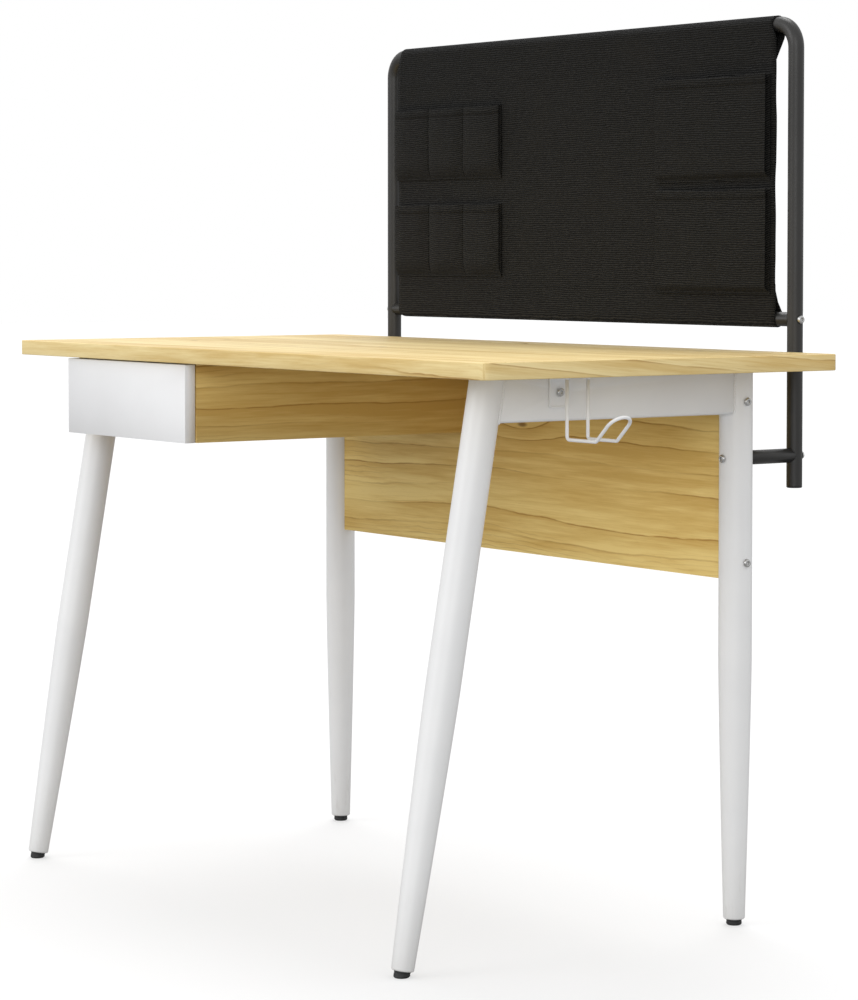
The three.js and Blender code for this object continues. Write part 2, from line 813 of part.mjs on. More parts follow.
function hookBracket() {
  const half = hookPlateWidth / 2;
  const plate = block([0, -half, -hookPlateDrop], [hookPlateWall, half, -fit]);
  const flange = block([0, -half, -fit - hookPlateWall], [hookFlange, half, -fit]);
  const hole = alongX(boltHole(3 * hookPlateWall)).translate(-hookPlateWall, 0, -hookScrewDrop);
  return cut(join(plate, flange), hole);
}

function hookWire() {
  const x0 = hookFlange - wireInset;
  const x1 = x0 + wireReach;
  const top = -2 * fit - hookPlateWall;
  const half = wireSpacing / 2;
  const rise = wireLoop + half;
  const end = [x1 + rise * Math.cos(wireRise), rise * Math.sin(wireRise) - wireDrop];
  const side = (y) => [
    new THREE.Vector3(x0, y, top),
    new THREE.Vector3(x0, y, -wireDrop),
    new THREE.Vector3(x1, y, -wireDrop),
    new THREE.Vector3(end[0], y, end[1]),
  ];
  const line = bentLine(
    [...side(-half), ...side(half).reverse()],
    [wireBend, wireBend, half, half, wireBend, wireBend],
  );
  const section = new THREE.Shape().absarc(0, 0, wireRadius, 0, 4 * quarter, false);
  return new THREE.ExtrudeGeometry(section, { steps: 96, curveSegments: 4, extrudePath: line });
}

add("hook_bracket", hookBracket(), whiteSteel, hook);
add("hook_wire", hookWire(), whiteSteel, hook);
const hookScrew = alongX(bolt(hookPlateWall + railWall + 8));
add("hook_screw", hookScrew, brightSteel, hook, [hookPlateWall + fit, 0, -hookScrewDrop]);

// The origin is on the floor, at the middle of the whole object's width and depth.
desk.updateMatrixWorld(true);
const middle = new THREE.Box3().setFromObject(desk).getCenter(new THREE.Vector3());
desk.position.set(-middle.x, -middle.y, 0);

export default desk;
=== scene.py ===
"""The looks of a study desk: laminated pine boards on a white tube frame, a shallow drawer, a wire
hook, and a ribbed cloth screen with sewn pockets on a charcoal tube behind. Metres, +Z up."""

import math

import bmesh
import bpy
from mathutils import Matrix, Vector, noise


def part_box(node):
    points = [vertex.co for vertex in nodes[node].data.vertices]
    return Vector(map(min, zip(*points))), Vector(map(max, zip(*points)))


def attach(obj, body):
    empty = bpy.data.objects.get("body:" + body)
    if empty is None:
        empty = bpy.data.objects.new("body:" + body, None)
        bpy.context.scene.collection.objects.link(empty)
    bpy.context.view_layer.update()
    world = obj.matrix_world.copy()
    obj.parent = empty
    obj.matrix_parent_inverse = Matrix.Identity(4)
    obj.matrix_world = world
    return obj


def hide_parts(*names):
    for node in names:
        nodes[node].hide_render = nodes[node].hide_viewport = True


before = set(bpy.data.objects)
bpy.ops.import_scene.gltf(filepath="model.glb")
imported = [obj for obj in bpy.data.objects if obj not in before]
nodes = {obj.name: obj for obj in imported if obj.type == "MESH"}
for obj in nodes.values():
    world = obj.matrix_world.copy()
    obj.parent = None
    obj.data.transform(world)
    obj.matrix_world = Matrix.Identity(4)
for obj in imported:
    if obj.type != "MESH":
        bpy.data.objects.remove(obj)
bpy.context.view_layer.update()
MM = 0.001
SIDES = {"left": -1, "right": 1}


# ---- Shader maths and nodes ----

class Value:
    """A number that varies over a surface. Sums and products of these add Math nodes."""

    def __init__(self, finish, socket):
        self.finish = finish
        self.socket = socket

    def maths(self, operation, *others):
        return self.finish.maths(operation, self, *others)

    def __add__(self, other):
        return self.maths("ADD", other)

    def __sub__(self, other):
        return self.maths("SUBTRACT", other)

    def __rsub__(self, other):
        return self.finish.maths("SUBTRACT", other, self)

    def __mul__(self, other):
        return self.maths("MULTIPLY", other)

    def __truediv__(self, other):
        return self.maths("DIVIDE", other)

    def __pow__(self, other):
        return self.maths("POWER", other)

    __radd__ = __add__
    __rmul__ = __mul__

    def clamped(self):
        return self.maths("MAXIMUM", 0.0).maths("MINIMUM", 1.0)

    def step(self, low, high):
        """0 below low, 1 above high, and smooth between them."""
        settings = {"interpolation_type": "SMOOTHSTEP"}
        inputs = {"Value": self, "From Min": low, "From Max": high}
        return self.finish.node("ShaderNodeMapRange", settings, inputs, "Result")


class Finish:
    """A material: a Principled shader and the nodes that feed it."""

    def __init__(self, name, **fixed):
        self.material = bpy.data.materials.new(name)
        self.material.use_nodes = True
        self.tree = self.material.node_tree
        self.shader = self.tree.nodes["Principled BSDF"]
        for socket, value in fixed.items():
            self.shader.inputs[socket.replace("_", " ")].default_value = value

    def node(self, kind, settings=None, inputs=None, output=None):
        """Adds a node. With an output's name, gives that output as a Value."""
        made = self.tree.nodes.new(kind)
        for key, value in (settings or {}).items():
            setattr(made, key, value)
        for key, value in (inputs or {}).items():
            self.feed(self.socket(made.inputs, key), value)
        return Value(self, self.socket(made.outputs, output)) if output else made

    @staticmethod
    def socket(sockets, key):
        exact = [s for s in sockets if s.identifier == key]
        return (exact or [s for s in sockets if s.name == key and s.enabled])[0]

    def feed(self, socket, value):
        if isinstance(value, Value):
            self.tree.links.new(value.socket, socket)
        elif socket.type == "RGBA" and len(value) == 3:
            socket.default_value = (*value, 1.0)
        else:
            socket.default_value = value

    def maths(self, operation, *terms):
        inputs = dict(zip(("Value", "Value_001"), terms))
        return self.node("ShaderNodeMath", {"operation": operation}, inputs, "Value")

    def place(self):
        """The object's own coordinates, in metres, as three Values. Keeps them whole as spot."""
        self.spot = self.node("ShaderNodeTexCoord", output="Object")
        parts = self.node("ShaderNodeSeparateXYZ", inputs={"Vector": self.spot})
        return [Value(self, parts.outputs[axis]) for axis in "XYZ"]

    def facing(self, axis):
        """How squarely a surface faces along an axis, from 0 to 1."""
        normal = self.node("ShaderNodeNewGeometry", output="Normal")
        parts = self.node("ShaderNodeSeparateXYZ", inputs={"Vector": normal})
        return Value(self, parts.outputs[axis]).maths("ABSOLUTE")

    def vector(self, x, y, z=0.0):
        inputs = {"X": x, "Y": y, "Z": z}
        return self.node("ShaderNodeCombineXYZ", inputs=inputs, output="Vector")

    def noise(self, vector, scale=1.0, detail=2.0, roughness=0.5):
        inputs = {"Vector": vector, "Scale": scale, "Detail": detail, "Roughness": roughness}
        return self.node("ShaderNodeTexNoise", inputs=inputs, output="Fac")

    def cells(self, vector, scale=1.0, output="Distance", dimensions="3D"):
        settings = {"voronoi_dimensions": dimensions}
        inputs = {"Vector": vector, "Scale": scale}
        return self.node("ShaderNodeTexVoronoi", settings, inputs, output)

    def mix(self, factor, a, b):
        inputs = {"Factor_Float": factor, "A_Color": a, "B_Color": b}
        return self.node("ShaderNodeMix", {"data_type": "RGBA"}, inputs, "Result_Color")

    def relief(self, height, depth):
        """Feeds the Normal from a height of 0 to 1 that stands for depth metres."""
        inputs = {"Height": height, "Distance": depth, "Strength": 1.0}
        bump = self.node("ShaderNodeBump", inputs=inputs, output="Normal")
        self.feed(self.shader.inputs["Normal"], bump)

    def surface(self, **inputs):
        for socket, value in inputs.items():
            self.feed(self.shader.inputs[socket.replace("_", " ")], value)
        return self.material


# ---- Finishes ----

PINE_LIGHT = (0.83, 0.66, 0.34)
PINE_MIDDLE = (0.66, 0.46, 0.18)
PINE_DARK = (0.36, 0.19, 0.055)
PINE_KNOT = (0.16, 0.07, 0.025)
CASE_SHADE_TINT = (0.97, 0.90, 0.66)  # painted shade: the drawer case sides under the top are a darker, more saturated copy of the pine
# painted shade and warm bounce light: the modesty panel under the top is a warmer, more saturated
# copy of the pine
PANEL_SHADE_TINT = (1.09, 1.03, 0.76)
# painted light: the top is a lighter copy of the pine, for the light that falls on it
TOP_LIGHT_TINT = (1.05, 1.07, 1.06)
RINGS = 38.0  # growth lines in a metre across the grain
RING_SWAY = 4.8  # lines by which the slow waves shift them
RING_QUIVER = 0.34


def pine_laminate(name, along, across, offset, depth=(1.0, 1.0, 1.0), band_ends=False):
    """Printed pine: long, gently wavy growth lines that run along one axis, fine fibres and pin
    knots. With band_ends, the band on the short ends has its own grain, along the end."""
    f = Finish(name, Specular_IOR_Level=0.16)
    tones = (PINE_LIGHT, PINE_MIDDLE, PINE_DARK, PINE_KNOT)
    # depth tints the tones: painted light and shade, a lighter copy for the top and darker, more
    # saturated copies for the boards under it
    light, middle, dark, knot = [tuple(c * d for c, d in zip(tone, depth)) for tone in tones]
    spot = dict(zip("XYZ", f.place()))
    rest = spot[({"X", "Y", "Z"} - {along, across}).pop()]
    run, cross = spot[along], spot[across] + offset + rest * 0.9
    if band_ends:
        at_end = f.facing(along).step(0.6, 0.8)
        run = run * (1 - at_end) + spot[across] * at_end
        cross = cross * (1 - at_end) + (rest * 1.1 + spot[across] * 0.10 + offset) * at_end

    def grain(along_it, over_it, layer=offset, detail=2.0, roughness=0.5):
        spot = f.vector(run * along_it, cross * over_it, layer)
        return f.noise(spot, detail=detail, roughness=roughness)

    sway = grain(0.9, 2.6, detail=1.5) - 0.5
    quiver = grain(9.0, 30.0, detail=3.0, roughness=0.6) - 0.5
    knots = f.vector(run * 2.7, cross * 8.0, offset)
    knot_gap = f.cells(knots, dimensions="2D")
    own = f.cells(knots, output="Color", dimensions="2D")
    chance = f.node("ShaderNodeSeparateColor", inputs={"Color": own}, output="Red")
    knotted = chance.step(0.66, 0.68)
    near = (1 - knot_gap.step(0.0, 0.34)) * knotted
    rings = cross * RINGS + sway * RING_SWAY + quiver * RING_QUIVER + near * 0.8
    phase = rings.maths("FRACT")
    ring = rings.maths("FLOOR")
    strength = f.noise(f.vector(ring * 3.7, run * 1.6, offset), detail=2.0).step(0.36, 0.62)
    late = phase ** 1.4 * (1 - phase.step(0.94, 1.0)) * strength
    line = phase.step(0.88, 0.95) * (1 - phase.step(0.955, 0.995)) * strength
    fine_rings = (rings * 4.3 + quiver * 0.9).maths("FRACT")
    zone = grain(1.3, 11.0, offset + 9).step(0.50, 0.66)
    fine_line = fine_rings.step(0.66, 0.92) * (1 - fine_rings.step(0.94, 1.0)) * zone
    dashed = grain(26.0, 60.0, offset + 3).step(0.30, 0.55)
    broad = grain(1.2, 15.0, offset + 7, 3.0, 0.6)
    mottle = grain(7.0, 105.0, rest * 7.0, 3.0, 0.6)
    fibre = grain(15.0, 560.0, rest * 9.0, 3.0, 0.65)
    flecks = grain(60.0, 1100.0, detail=1.0).step(0.68, 0.76)
    shade = late * 0.85 + (broad - 0.5) * 2.6 + (mottle - 0.5) * 2.0 + (fibre - 0.5) * 1.0 + 0.32
    colour = f.mix(shade.clamped(), light, middle)
    streak = line * (0.28 + dashed * 0.42) + late * 0.10 + fine_line * (0.14 + dashed * 0.24)
    streak = (streak + flecks * 0.16 + near * 0.12).clamped()
    colour = f.mix(streak, colour, dark)
    heart = (1 - knot_gap.step(0.012, 0.040)) * knotted * 0.75
    colour = f.mix(heart, colour, knot)
    f.relief(fibre * 0.7 + 0.3 * (1 - streak), 0.00006)
    roughness = 0.50 + (fibre - 0.5) * 0.10 + streak * 0.06
    return f.surface(Base_Color=colour, Roughness=roughness)


def white_laminate():
    """Melamine drawer front: flat off-white with a faint orange-peel surface."""
    f = Finish("white_melamine", Specular_IOR_Level=0.4)
    x, y, z = f.place()
    cloud = f.noise(f.spot, 9.0, 3.0)
    peel = f.noise(f.spot, 900.0, 2.0)
    low = (1 - (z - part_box("drawer_front")[0].z).step(0.0, 0.03)) * 0.25
    grey = (cloud.step(0.35, 0.75) * 0.5 + low).clamped()
    colour = f.mix(grey, (0.88, 0.88, 0.885), (0.82, 0.82, 0.82))
    f.relief(peel, 0.00002)
    return f.surface(Base_Color=colour, Roughness=0.40 + (peel - 0.5) * 0.12)


def hardboard():
    """Pressed brown fibre board for the drawer's bottom."""
    f = Finish("pressed_hardboard", Specular_IOR_Level=0.25)
    x, y, z = f.place()
    fibres = f.noise(f.vector(x * 420.0, y * 260.0, z * 400.0), 1.0, 4.0, 0.7)
    patches = f.noise(f.spot, 26.0, 4.0)
    colour = f.mix(fibres.step(0.32, 0.72), (0.20, 0.115, 0.055), (0.40, 0.26, 0.14))
    colour = f.mix(patches.step(0.4, 0.7) * 0.35, colour, (0.30, 0.18, 0.09))
    f.relief(fibres, 0.00012)
    return f.surface(Base_Color=colour, Roughness=0.62 + (fibres - 0.5) * 0.3)


def powder_coat(name, light, shade, roughness, grit, floor_dust=0.0):
    """Baked powder on steel: fine orange peel, slow changes of tone and dust near the floor."""
    f = Finish(name, Specular_IOR_Level=0.5)
    x, y, z = f.place()
    cloud = f.noise(f.spot, 7.0, 3.0, 0.6)
    peel = f.noise(f.spot, 620.0, 2.0, 0.5)
    specks = f.noise(f.spot, 2600.0, 1.0).step(0.70, 0.80)
    colour = f.mix((cloud.step(0.30, 0.75) + specks * 0.2).clamped(), light, shade)
    if floor_dust:
        scuffs = f.noise(f.vector(x * 60.0, y * 60.0, z * 14.0), 1.0, 4.0, 0.7).step(0.52, 0.72)
        dust = (1 - z.step(0.01, 0.14)) * (0.35 + scuffs * 0.65) * floor_dust
        colour = f.mix(dust.clamped(), colour, (0.46, 0.43, 0.38))
    f.relief(peel * 0.8 + specks * 0.2, grit)
    rough = roughness + (peel - 0.5) * 0.16 + (cloud - 0.5) * 0.08
    return f.surface(Base_Color=colour, Roughness=rough)


def zinc_plate():
    """Zinc-plated pressed steel: faint spangle and rolling lines along Y."""
    f = Finish("zinc_plate", Metallic=1.0)
    x, y, z = f.place()
    spangle = f.noise(f.cells(f.spot, 160.0, "Position"), 500.0, 0.0)
    rolled = f.noise(f.vector(x * 2400.0, y * 20.0, z * 2400.0), 1.0, 2.0)
    colour = f.mix(spangle.step(0.3, 0.7), (0.56, 0.57, 0.58), (0.65, 0.66, 0.67))
    tarnish = f.noise(f.spot, 30.0, 3.0).step(0.5, 0.8) * 0.25
    colour = f.mix(tarnish, colour, (0.62, 0.58, 0.45))
    f.relief(rolled, 0.00001)
    return f.surface(Base_Color=colour, Roughness=0.30 + rolled * 0.12 + spangle * 0.08)


def bolt_steel():
    """Nickel-plated bolts with a brushed, slightly stained face."""
    f = Finish("nickel_plate", Metallic=1.0)
    f.place()
    brushed = f.noise(f.spot, 3800.0, 2.0)
    stain = f.noise(f.spot, 260.0, 3.0).step(0.50, 0.80)
    colour = f.mix(stain, (0.56, 0.56, 0.55), (0.38, 0.37, 0.36))
    f.relief(brushed, 0.00001)
    return f.surface(Base_Color=colour, Roughness=0.22 + brushed * 0.10 + stain * 0.16)


def black_plastic():
    """Moulded black nylon with a fine spark-eroded grain and rubbed lower rims."""
    f = Finish("moulded_nylon", Specular_IOR_Level=0.4)
    x, y, z = f.place()
    grain = f.noise(f.spot, 1500.0, 2.0)
    rubbed = f.noise(f.spot, 180.0, 3.0).step(0.45, 0.70) * (1 - z.step(0.0, 0.003))
    colour = f.mix(grain.step(0.35, 0.7), (0.018, 0.018, 0.019), (0.032, 0.032, 0.033))
    colour = f.mix(rubbed * 0.6, colour, (0.12, 0.115, 0.11))
    f.relief(grain, 0.00006)
    return f.surface(Base_Color=colour, Roughness=0.50 + (grain - 0.5) * 0.25)


RIB = 3.0 * MM  # from one rib of the cloth to the next
WARP = 1.1 * MM  # from one upright thread to the next


def ribbed_cloth(name, depth_share):
    """Heavy black polyester with horizontal ribs, wavering and broken like a coarse weave. The
    ribs are counted up the cloth and by a share of its depth, so that they follow its turns."""
    f = Finish(name, Specular_IOR_Level=0.10, Sheen_Weight=0.03, Sheen_Roughness=0.5)
    x, y, z = f.place()
    waver = f.noise(f.vector(x * 34.0, y * 34.0, z * 80.0), 1.0, 3.0, 0.65) - 0.5
    rise = (z + y * depth_share) / RIB + waver * 1.6
    rib = ((rise * math.tau).maths("SINE") * 0.5 + 0.5) ** 0.8
    breaks = f.noise(f.vector(x * 260.0, y * 120.0, z / RIB * 0.9), 1.0, 2.0, 0.6)
    warp = (x * (math.tau / WARP)).maths("SINE") * 0.5 + 0.5
    fuzz = f.noise(f.spot, 2300.0, 2.0)
    height = rib * (0.55 + breaks * 0.55) + warp * rib * 0.18 + fuzz * 0.12
    low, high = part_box("screen_fabric")
    up = ((z - low.z) / (high.z - low.z)).clamped()
    painted_bounce = 1.24 - up * 0.42  # paler low down: painted light, for the light bounced up off the desk top
    # tone follows the relief: partly a painted highlight on the ribs' crests and painted shade in
    # the grooves between them, partly the weave's own broken tone
    tone = ((height * 0.9 - 0.18 + (breaks - 0.5) * 0.5) * painted_bounce).clamped()
    slub = f.noise(f.vector(x * 14.0, y * 14.0, z * 22.0), 1.0, 3.0)
    # painted warm bounce light: the cloth is warmer low down, nearer the pine top, and neutral
    # higher up
    thread = f.mix(up, (0.0325, 0.0305, 0.0262), (0.0312, 0.0308, 0.0296))
    colour = f.mix(tone, (0.0022, 0.0022, 0.0021), thread)
    colour = f.mix(slub.step(0.45, 0.75) * 0.35, colour, (0.0150, 0.0138, 0.0110))
    f.relief(height, 0.0011)
    return f.surface(Base_Color=colour, Roughness=0.86 + (fuzz - 0.5) * 0.12)


def sewing_thread():
    """Twisted black thread."""
    f = Finish("sewing_thread", Specular_IOR_Level=0.12, Sheen_Weight=0.03)
    x, y, z = f.place()
    twist = (x * 2600.0 + z * 2600.0 + y * 1300.0).maths("SINE") * 0.5 + 0.5
    # painted highlight on the twist's crests and painted shade in its grooves
    colour = f.mix(twist, (0.004, 0.004, 0.004), (0.020, 0.0195, 0.018))
    f.relief(twist, 0.00008)
    return f.surface(Base_Color=colour, Roughness=0.6 + twist * 0.15)


PINE_TOP = pine_laminate("pine_top", "X", "Y", 0.37, TOP_LIGHT_TINT, band_ends=True)
PINE_PANEL = pine_laminate("pine_panel", "X", "Z", 1.21, PANEL_SHADE_TINT)
PINE_CASE = pine_laminate("pine_case", "Y", "Z", 2.83, CASE_SHADE_TINT)
PINE_DRAWER_SIDE = pine_laminate("pine_drawer_side", "Y", "Z", 3.17)
PINE_DRAWER_BACK = pine_laminate("pine_drawer_back", "X", "Z", 4.41)
WHITE_BOARD = white_laminate()
HARDBOARD = hardboard()
WHITE_STEEL = powder_coat("white_powder_coat", (0.87, 0.87, 0.865), (0.83, 0.83, 0.83),
                          0.36, 0.00004, floor_dust=0.35)
BLACK_STEEL = powder_coat("charcoal_powder_coat", (0.0215, 0.0205, 0.0190),
                          (0.0165, 0.0160, 0.0148), 0.42, 0.00006)
ZINC = zinc_plate()
BOLT = bolt_steel()
PLASTIC = black_plastic()
CLOTH = ribbed_cloth("ribbed_polyester", 0.6)
POCKET_FABRIC = ribbed_cloth("ribbed_polyester_pockets", -0.8)
THREAD = sewing_thread()


# ---- Mesh work ----

def placed(name, data):
    """Puts a mesh, a lamp or a camera into the scene as an object."""
    made = bpy.data.objects.new(name, data)
    bpy.context.scene.collection.objects.link(made)
    return made


def piece(name, points, faces, material, replaces=(), edge=None):
    """Makes a piece of the frame, with a finish. Its sharp edges are softened if edge gives
    a width, an angle and sometimes a count of segments."""
    mesh = bpy.data.meshes.new(name)
    mesh.from_pydata([tuple(p) for p in points], [], faces)
    tidy = bmesh.new()
    tidy.from_mesh(mesh)
    bmesh.ops.remove_doubles(tidy, verts=tidy.verts, dist=1e-6)
    bmesh.ops.recalc_face_normals(tidy, faces=tidy.faces)
    tidy.to_mesh(mesh)
    tidy.free()
    mesh.materials.append(material)
    mesh.shade_smooth()
    made = placed(name, mesh)
    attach(made, "root")
    if replaces:
        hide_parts(*replaces)
    if edge:
        soften(made, *edge)
    return made


def soften(made, width, angle=28.0, segments=2):
    """Rounds a piece's sharp edges by a small width."""
    bevel = made.modifiers.new("rounded_edges", "BEVEL")
    bevel.width = width
    bevel.segments = segments
    bevel.limit_method = "ANGLE"
    bevel.angle_limit = math.radians(angle)
    bevel.harden_normals = True
    bevel.use_clamp_overlap = True


def dress(name, material, edge=0.4 * MM, angle=28.0):
    """Gives a CAD node its finish, joined facets and rounded edges."""
    node = nodes[name]
    node.data.materials.clear()
    node.data.materials.append(material)
    node.data.shade_smooth()
    weld = node.modifiers.new("joined_facets", "WELD")
    weld.merge_threshold = 1e-6
    soften(node, edge, angle)


def evenly(start, end, count):
    """Numbers from start to end in count equal steps."""
    return [start + (end - start) * k / count for k in range(count + 1)]


def ring_faces(rings, count, closed=True):
    """Quads between rings of count points each, and round each ring if it is closed."""
    faces = []
    last = count if closed else count - 1
    for r in range(rings - 1):
        for i in range(last):
            j = (i + 1) % count
            faces.append((r * count + i, r * count + j, (r + 1) * count + j, (r + 1) * count + i))
    return faces


def capped(faces, rings, count):
    """The faces of a row of rings, with a face across the first and the last ring."""
    last = (rings - 1) * count
    return faces + [tuple(reversed(range(count))), tuple(range(last, last + count))]


def turned(profile, sides, placing, solid=True):
    """Points and faces of a profile of (radius, height) turned round +Z, then placed.
    A radius may be a function of the angle."""
    points = []
    for radius, height in profile:
        for i in range(sides):
            angle = math.tau * i / sides
            r = radius(angle) if callable(radius) else radius
            points.append(placing @ Vector((r * math.cos(angle), r * math.sin(angle), height)))
    faces = ring_faces(len(profile), sides)
    return points, capped(faces, len(profile), sides) if solid else faces


def swept(path, radius, sides):
    """Points and faces of a round bar along a path. The radius may be a function of the index."""
    points = []
    across = None
    for i, spot in enumerate(path):
        ahead = (path[min(i + 1, len(path) - 1)] - path[max(i - 1, 0)]).normalized()
        if across is None:
            across = ahead.orthogonal().normalized()
        across = (across - ahead * across.dot(ahead)).normalized()
        side = ahead.cross(across)
        r = radius(i) if callable(radius) else radius
        for k in range(sides):
            angle = math.tau * k / sides
            points.append(spot + across * (r * math.cos(angle)) + side * (r * math.sin(angle)))
    return points, capped(ring_faces(len(path), sides), len(path), sides)


def bent_path(corners, radii, step=math.radians(6.0)):
    """The centre line through corners, with a round bend of its own radius at each inner one."""
    path = [corners[0]]
    for corner, before, after, radius in zip(corners[1:], corners, corners[2:], radii):
        back = (before - corner).normalized()
        on = (after - corner).normalized()
        turn = math.pi - back.angle(on)
        reach = radius * math.tan(turn / 2)
        middle = corner + (back + on).normalized() * (radius / math.cos(turn / 2))
        start = corner + back * reach - middle
        normal = start.cross(corner + on * reach - middle).normalized()
        count = max(2, round(turn / step))
        turns = [Matrix.Rotation(turn * k / count, 3, normal) for k in range(count + 1)]
        path += [middle + rotation @ start for rotation in turns]
    return path + [corners[-1]]


def pointing(place, direction):
    """A matrix that puts a piece made along +Z at a place, pointing along a direction."""
    turn = Vector(direction).to_track_quat("Z", "Y").to_matrix().to_4x4()
    return Matrix.Translation(place) @ turn


def merged(parts):
    """Several (points, faces) pairs as one."""
    points, faces = [], []
    for more, their_faces in parts:
        start = len(points)
        points += more
        faces += [tuple(start + i for i in face) for face in their_faces]
    return points, faces


# ---- Places taken from the frame ----

top_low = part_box("table_top")[0]
frame_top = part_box("modesty_panel")[1].z
leg_low, leg_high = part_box("back_leg_left")
leg_radius = (leg_high - leg_low).x / 2


# ---- White side frames: legs, feet, rails and welds ----

SPLAY = math.radians(10.0)
LEG_WALL = 1.5 * MM
LEG_FOOT_GAP = 8.0 * MM  # from the floor to a leg's lower end
LEG_TAPER = 350.0 * MM
LEG_FULLNESS = 1.2
LEG_END_RADIUS = 13.9 * MM
LEG_END_ROUND = 2.4 * MM
LEG_MOUTH_RADIUS = 10.6 * MM
FOOT_RADIUS = 10.2 * MM
FOOT_CHAMFER = 1.6 * MM
FOOT_STEM = 18.0 * MM
RAIL_CORNER = 4.0 * MM
WELD_RADIUS = 1.9 * MM
WELD_RIPPLE = 0.16  # shares of the bead's radius
WELD_WANDER = 0.25


def leg_axis(which, side):
    """A leg's axis: the point where it meets the floor, and its direction."""
    low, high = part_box(f"{which}_leg_{side}")
    x = (low.x + high.x) / 2
    if which == "back":
        return Vector((x, (low.y + high.y) / 2, 0.0)), Vector((0.0, 0.0, 1.0))
    axis = Vector((0.0, math.sin(SPLAY), math.cos(SPLAY)))
    top = Vector((x, high.y - leg_radius / math.cos(SPLAY), high.z))
    return top - axis * (top.z / axis.z), axis


def leg_radius_at(height):
    """A leg's outer radius at a distance from the floor, along its axis."""
    share = min(height / LEG_TAPER, 1.0)
    return LEG_END_RADIUS + (leg_radius - LEG_END_RADIUS) * (1 - (1 - share) ** LEG_FULLNESS)


def slide_to_height(points, axis, height):
    """Points moved along an axis to one height."""
    return [p + axis * ((height - p.z) / axis.z) for p in points]


def leg(which, side, sides=64):
    """A hollow tapered leg, rounded at its foot and cut level at its upper rim."""
    foot, axis = leg_axis(which, side)
    start = LEG_FOOT_GAP + LEG_END_ROUND
    end = leg_radius_at(start)
    rounding = [math.radians(a) for a in (0, 22, 45, 67, 90)]
    profile = [(LEG_MOUTH_RADIUS, LEG_FOOT_GAP)]
    profile += [
        (end - LEG_END_ROUND * (1 - math.sin(a)), start - LEG_END_ROUND * math.cos(a))
        for a in rounding
    ]
    heights = [start + (LEG_TAPER - start) * k / 16 for k in range(1, 17)]
    profile += [(leg_radius_at(h), h) for h in heights]
    profile += [(leg_radius, top_low.z), (leg_radius - LEG_WALL, top_low.z)]
    profile += [(leg_radius - LEG_WALL, LEG_TAPER), (end - LEG_WALL, start + LEG_WALL)]
    profile += [(LEG_MOUTH_RADIUS, LEG_FOOT_GAP + LEG_WALL), (LEG_MOUTH_RADIUS, LEG_FOOT_GAP)]
    points, faces = turned(profile, sides, pointing(foot, axis), solid=False)
    first = (len(profile) - 6) * sides
    rim = slice(first, first + 2 * sides)
    points[rim] = slide_to_height(points[rim], axis, frame_top)
    node = f"{which}_leg_{side}"
    piece(f"leg_{which}_{side}", points, faces, WHITE_STEEL, [node], (0.4 * MM, 40.0))


def glide(which, side, sides=48):
    """A push-in foot, whose sole lies flat on the floor whatever the leg's slope."""
    foot, axis = leg_axis(which, side)
    top = LEG_FOOT_GAP + FOOT_STEM
    waist = 0.35 * MM
    profile = [
        (FOOT_RADIUS - FOOT_CHAMFER, 0.0), (FOOT_RADIUS, 0.0),
        (FOOT_RADIUS, LEG_FOOT_GAP * 0.55), (FOOT_RADIUS - waist, LEG_FOOT_GAP * 0.6),
        (FOOT_RADIUS - waist, LEG_FOOT_GAP * 0.7), (FOOT_RADIUS, LEG_FOOT_GAP * 0.75),
        (FOOT_RADIUS, top - FOOT_CHAMFER), (FOOT_RADIUS - FOOT_CHAMFER, top),
    ]
    points, faces = turned(profile, sides, pointing(foot, axis))
    points[:sides] = slide_to_height(points[:sides], axis, 0.0)
    points[sides:2 * sides] = slide_to_height(points[sides:2 * sides], axis, FOOT_CHAMFER)
    node = f"foot_{which}_{side}"
    piece(f"glide_{which}_{side}", points, faces, PLASTIC, [node], (0.3 * MM, 30.0))


def rail_outline(side, step=2.0 * MM):
    """The rail's section down its outer face, along its lower face and up its inner face."""
    low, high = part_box(f"side_rail_{side}")
    r = RAIL_CORNER
    corners = ((low.x, high.z - r), (low.x, low.z), (high.x, low.z), (high.x, high.z - r))
    rough = bent_path([Vector((x, 0.0, z)) for x, z in corners], [r, r], math.radians(10.0))
    fine = [rough[0]]
    for a, b in zip(rough, rough[1:]):
        count = max(1, round((b - a).length / step))
        fine += [a.lerp(b, (k + 1) / count) for k in range(count)]
    return fine


def weld(which, side):
    """A rippled bead where the rail meets a leg, wavering a little as a hand-held torch does."""
    foot, axis = leg_axis(which, side)
    toward = 1 if which == "front" else -1
    path = []
    for spot in rail_outline(side):
        # The leg's surface, on the line along Y through this spot.
        away = Vector((spot.x - foot.x, 0.0, spot.z))
        across = Vector((0.0, 1.0, 0.0)) - axis * axis.y
        offset = away - axis * away.dot(axis)
        a, b, c = across.dot(across), 2 * offset.dot(across), offset.dot(offset) - leg_radius**2
        root = math.sqrt(max(b * b - 4 * a * c, 0.0))
        y = foot.y + (-b + toward * root) / (2 * a)
        path.append(Vector((spot.x, y, spot.z)))
    inner = [(p + q + r) / 3 for p, q, r in zip(path, path[1:], path[2:])]
    smooth = [path[0]] + inner + [path[-1]]
    fine = [a.lerp(b, k / 3) for a, b in zip(smooth, smooth[1:]) for k in range(3)]
    seed = Vector((foot.x * 7, foot.y * 5, 0.0))

    def bead(i):
        ripple = WELD_RIPPLE * math.sin(i * math.tau / 5.2)
        slow = WELD_WANDER * noise.noise(seed + Vector((0.0, 0.0, i * 0.07)))
        ends = min(1.0, 0.35 + i * 0.2, 0.35 + (len(fine) - 1 - i) * 0.2)
        return WELD_RADIUS * (0.85 + ripple + slow) * ends

    points, faces = swept(fine, bead, 10)
    piece(f"weld_{which}_{side}", points, faces, WHITE_STEEL)


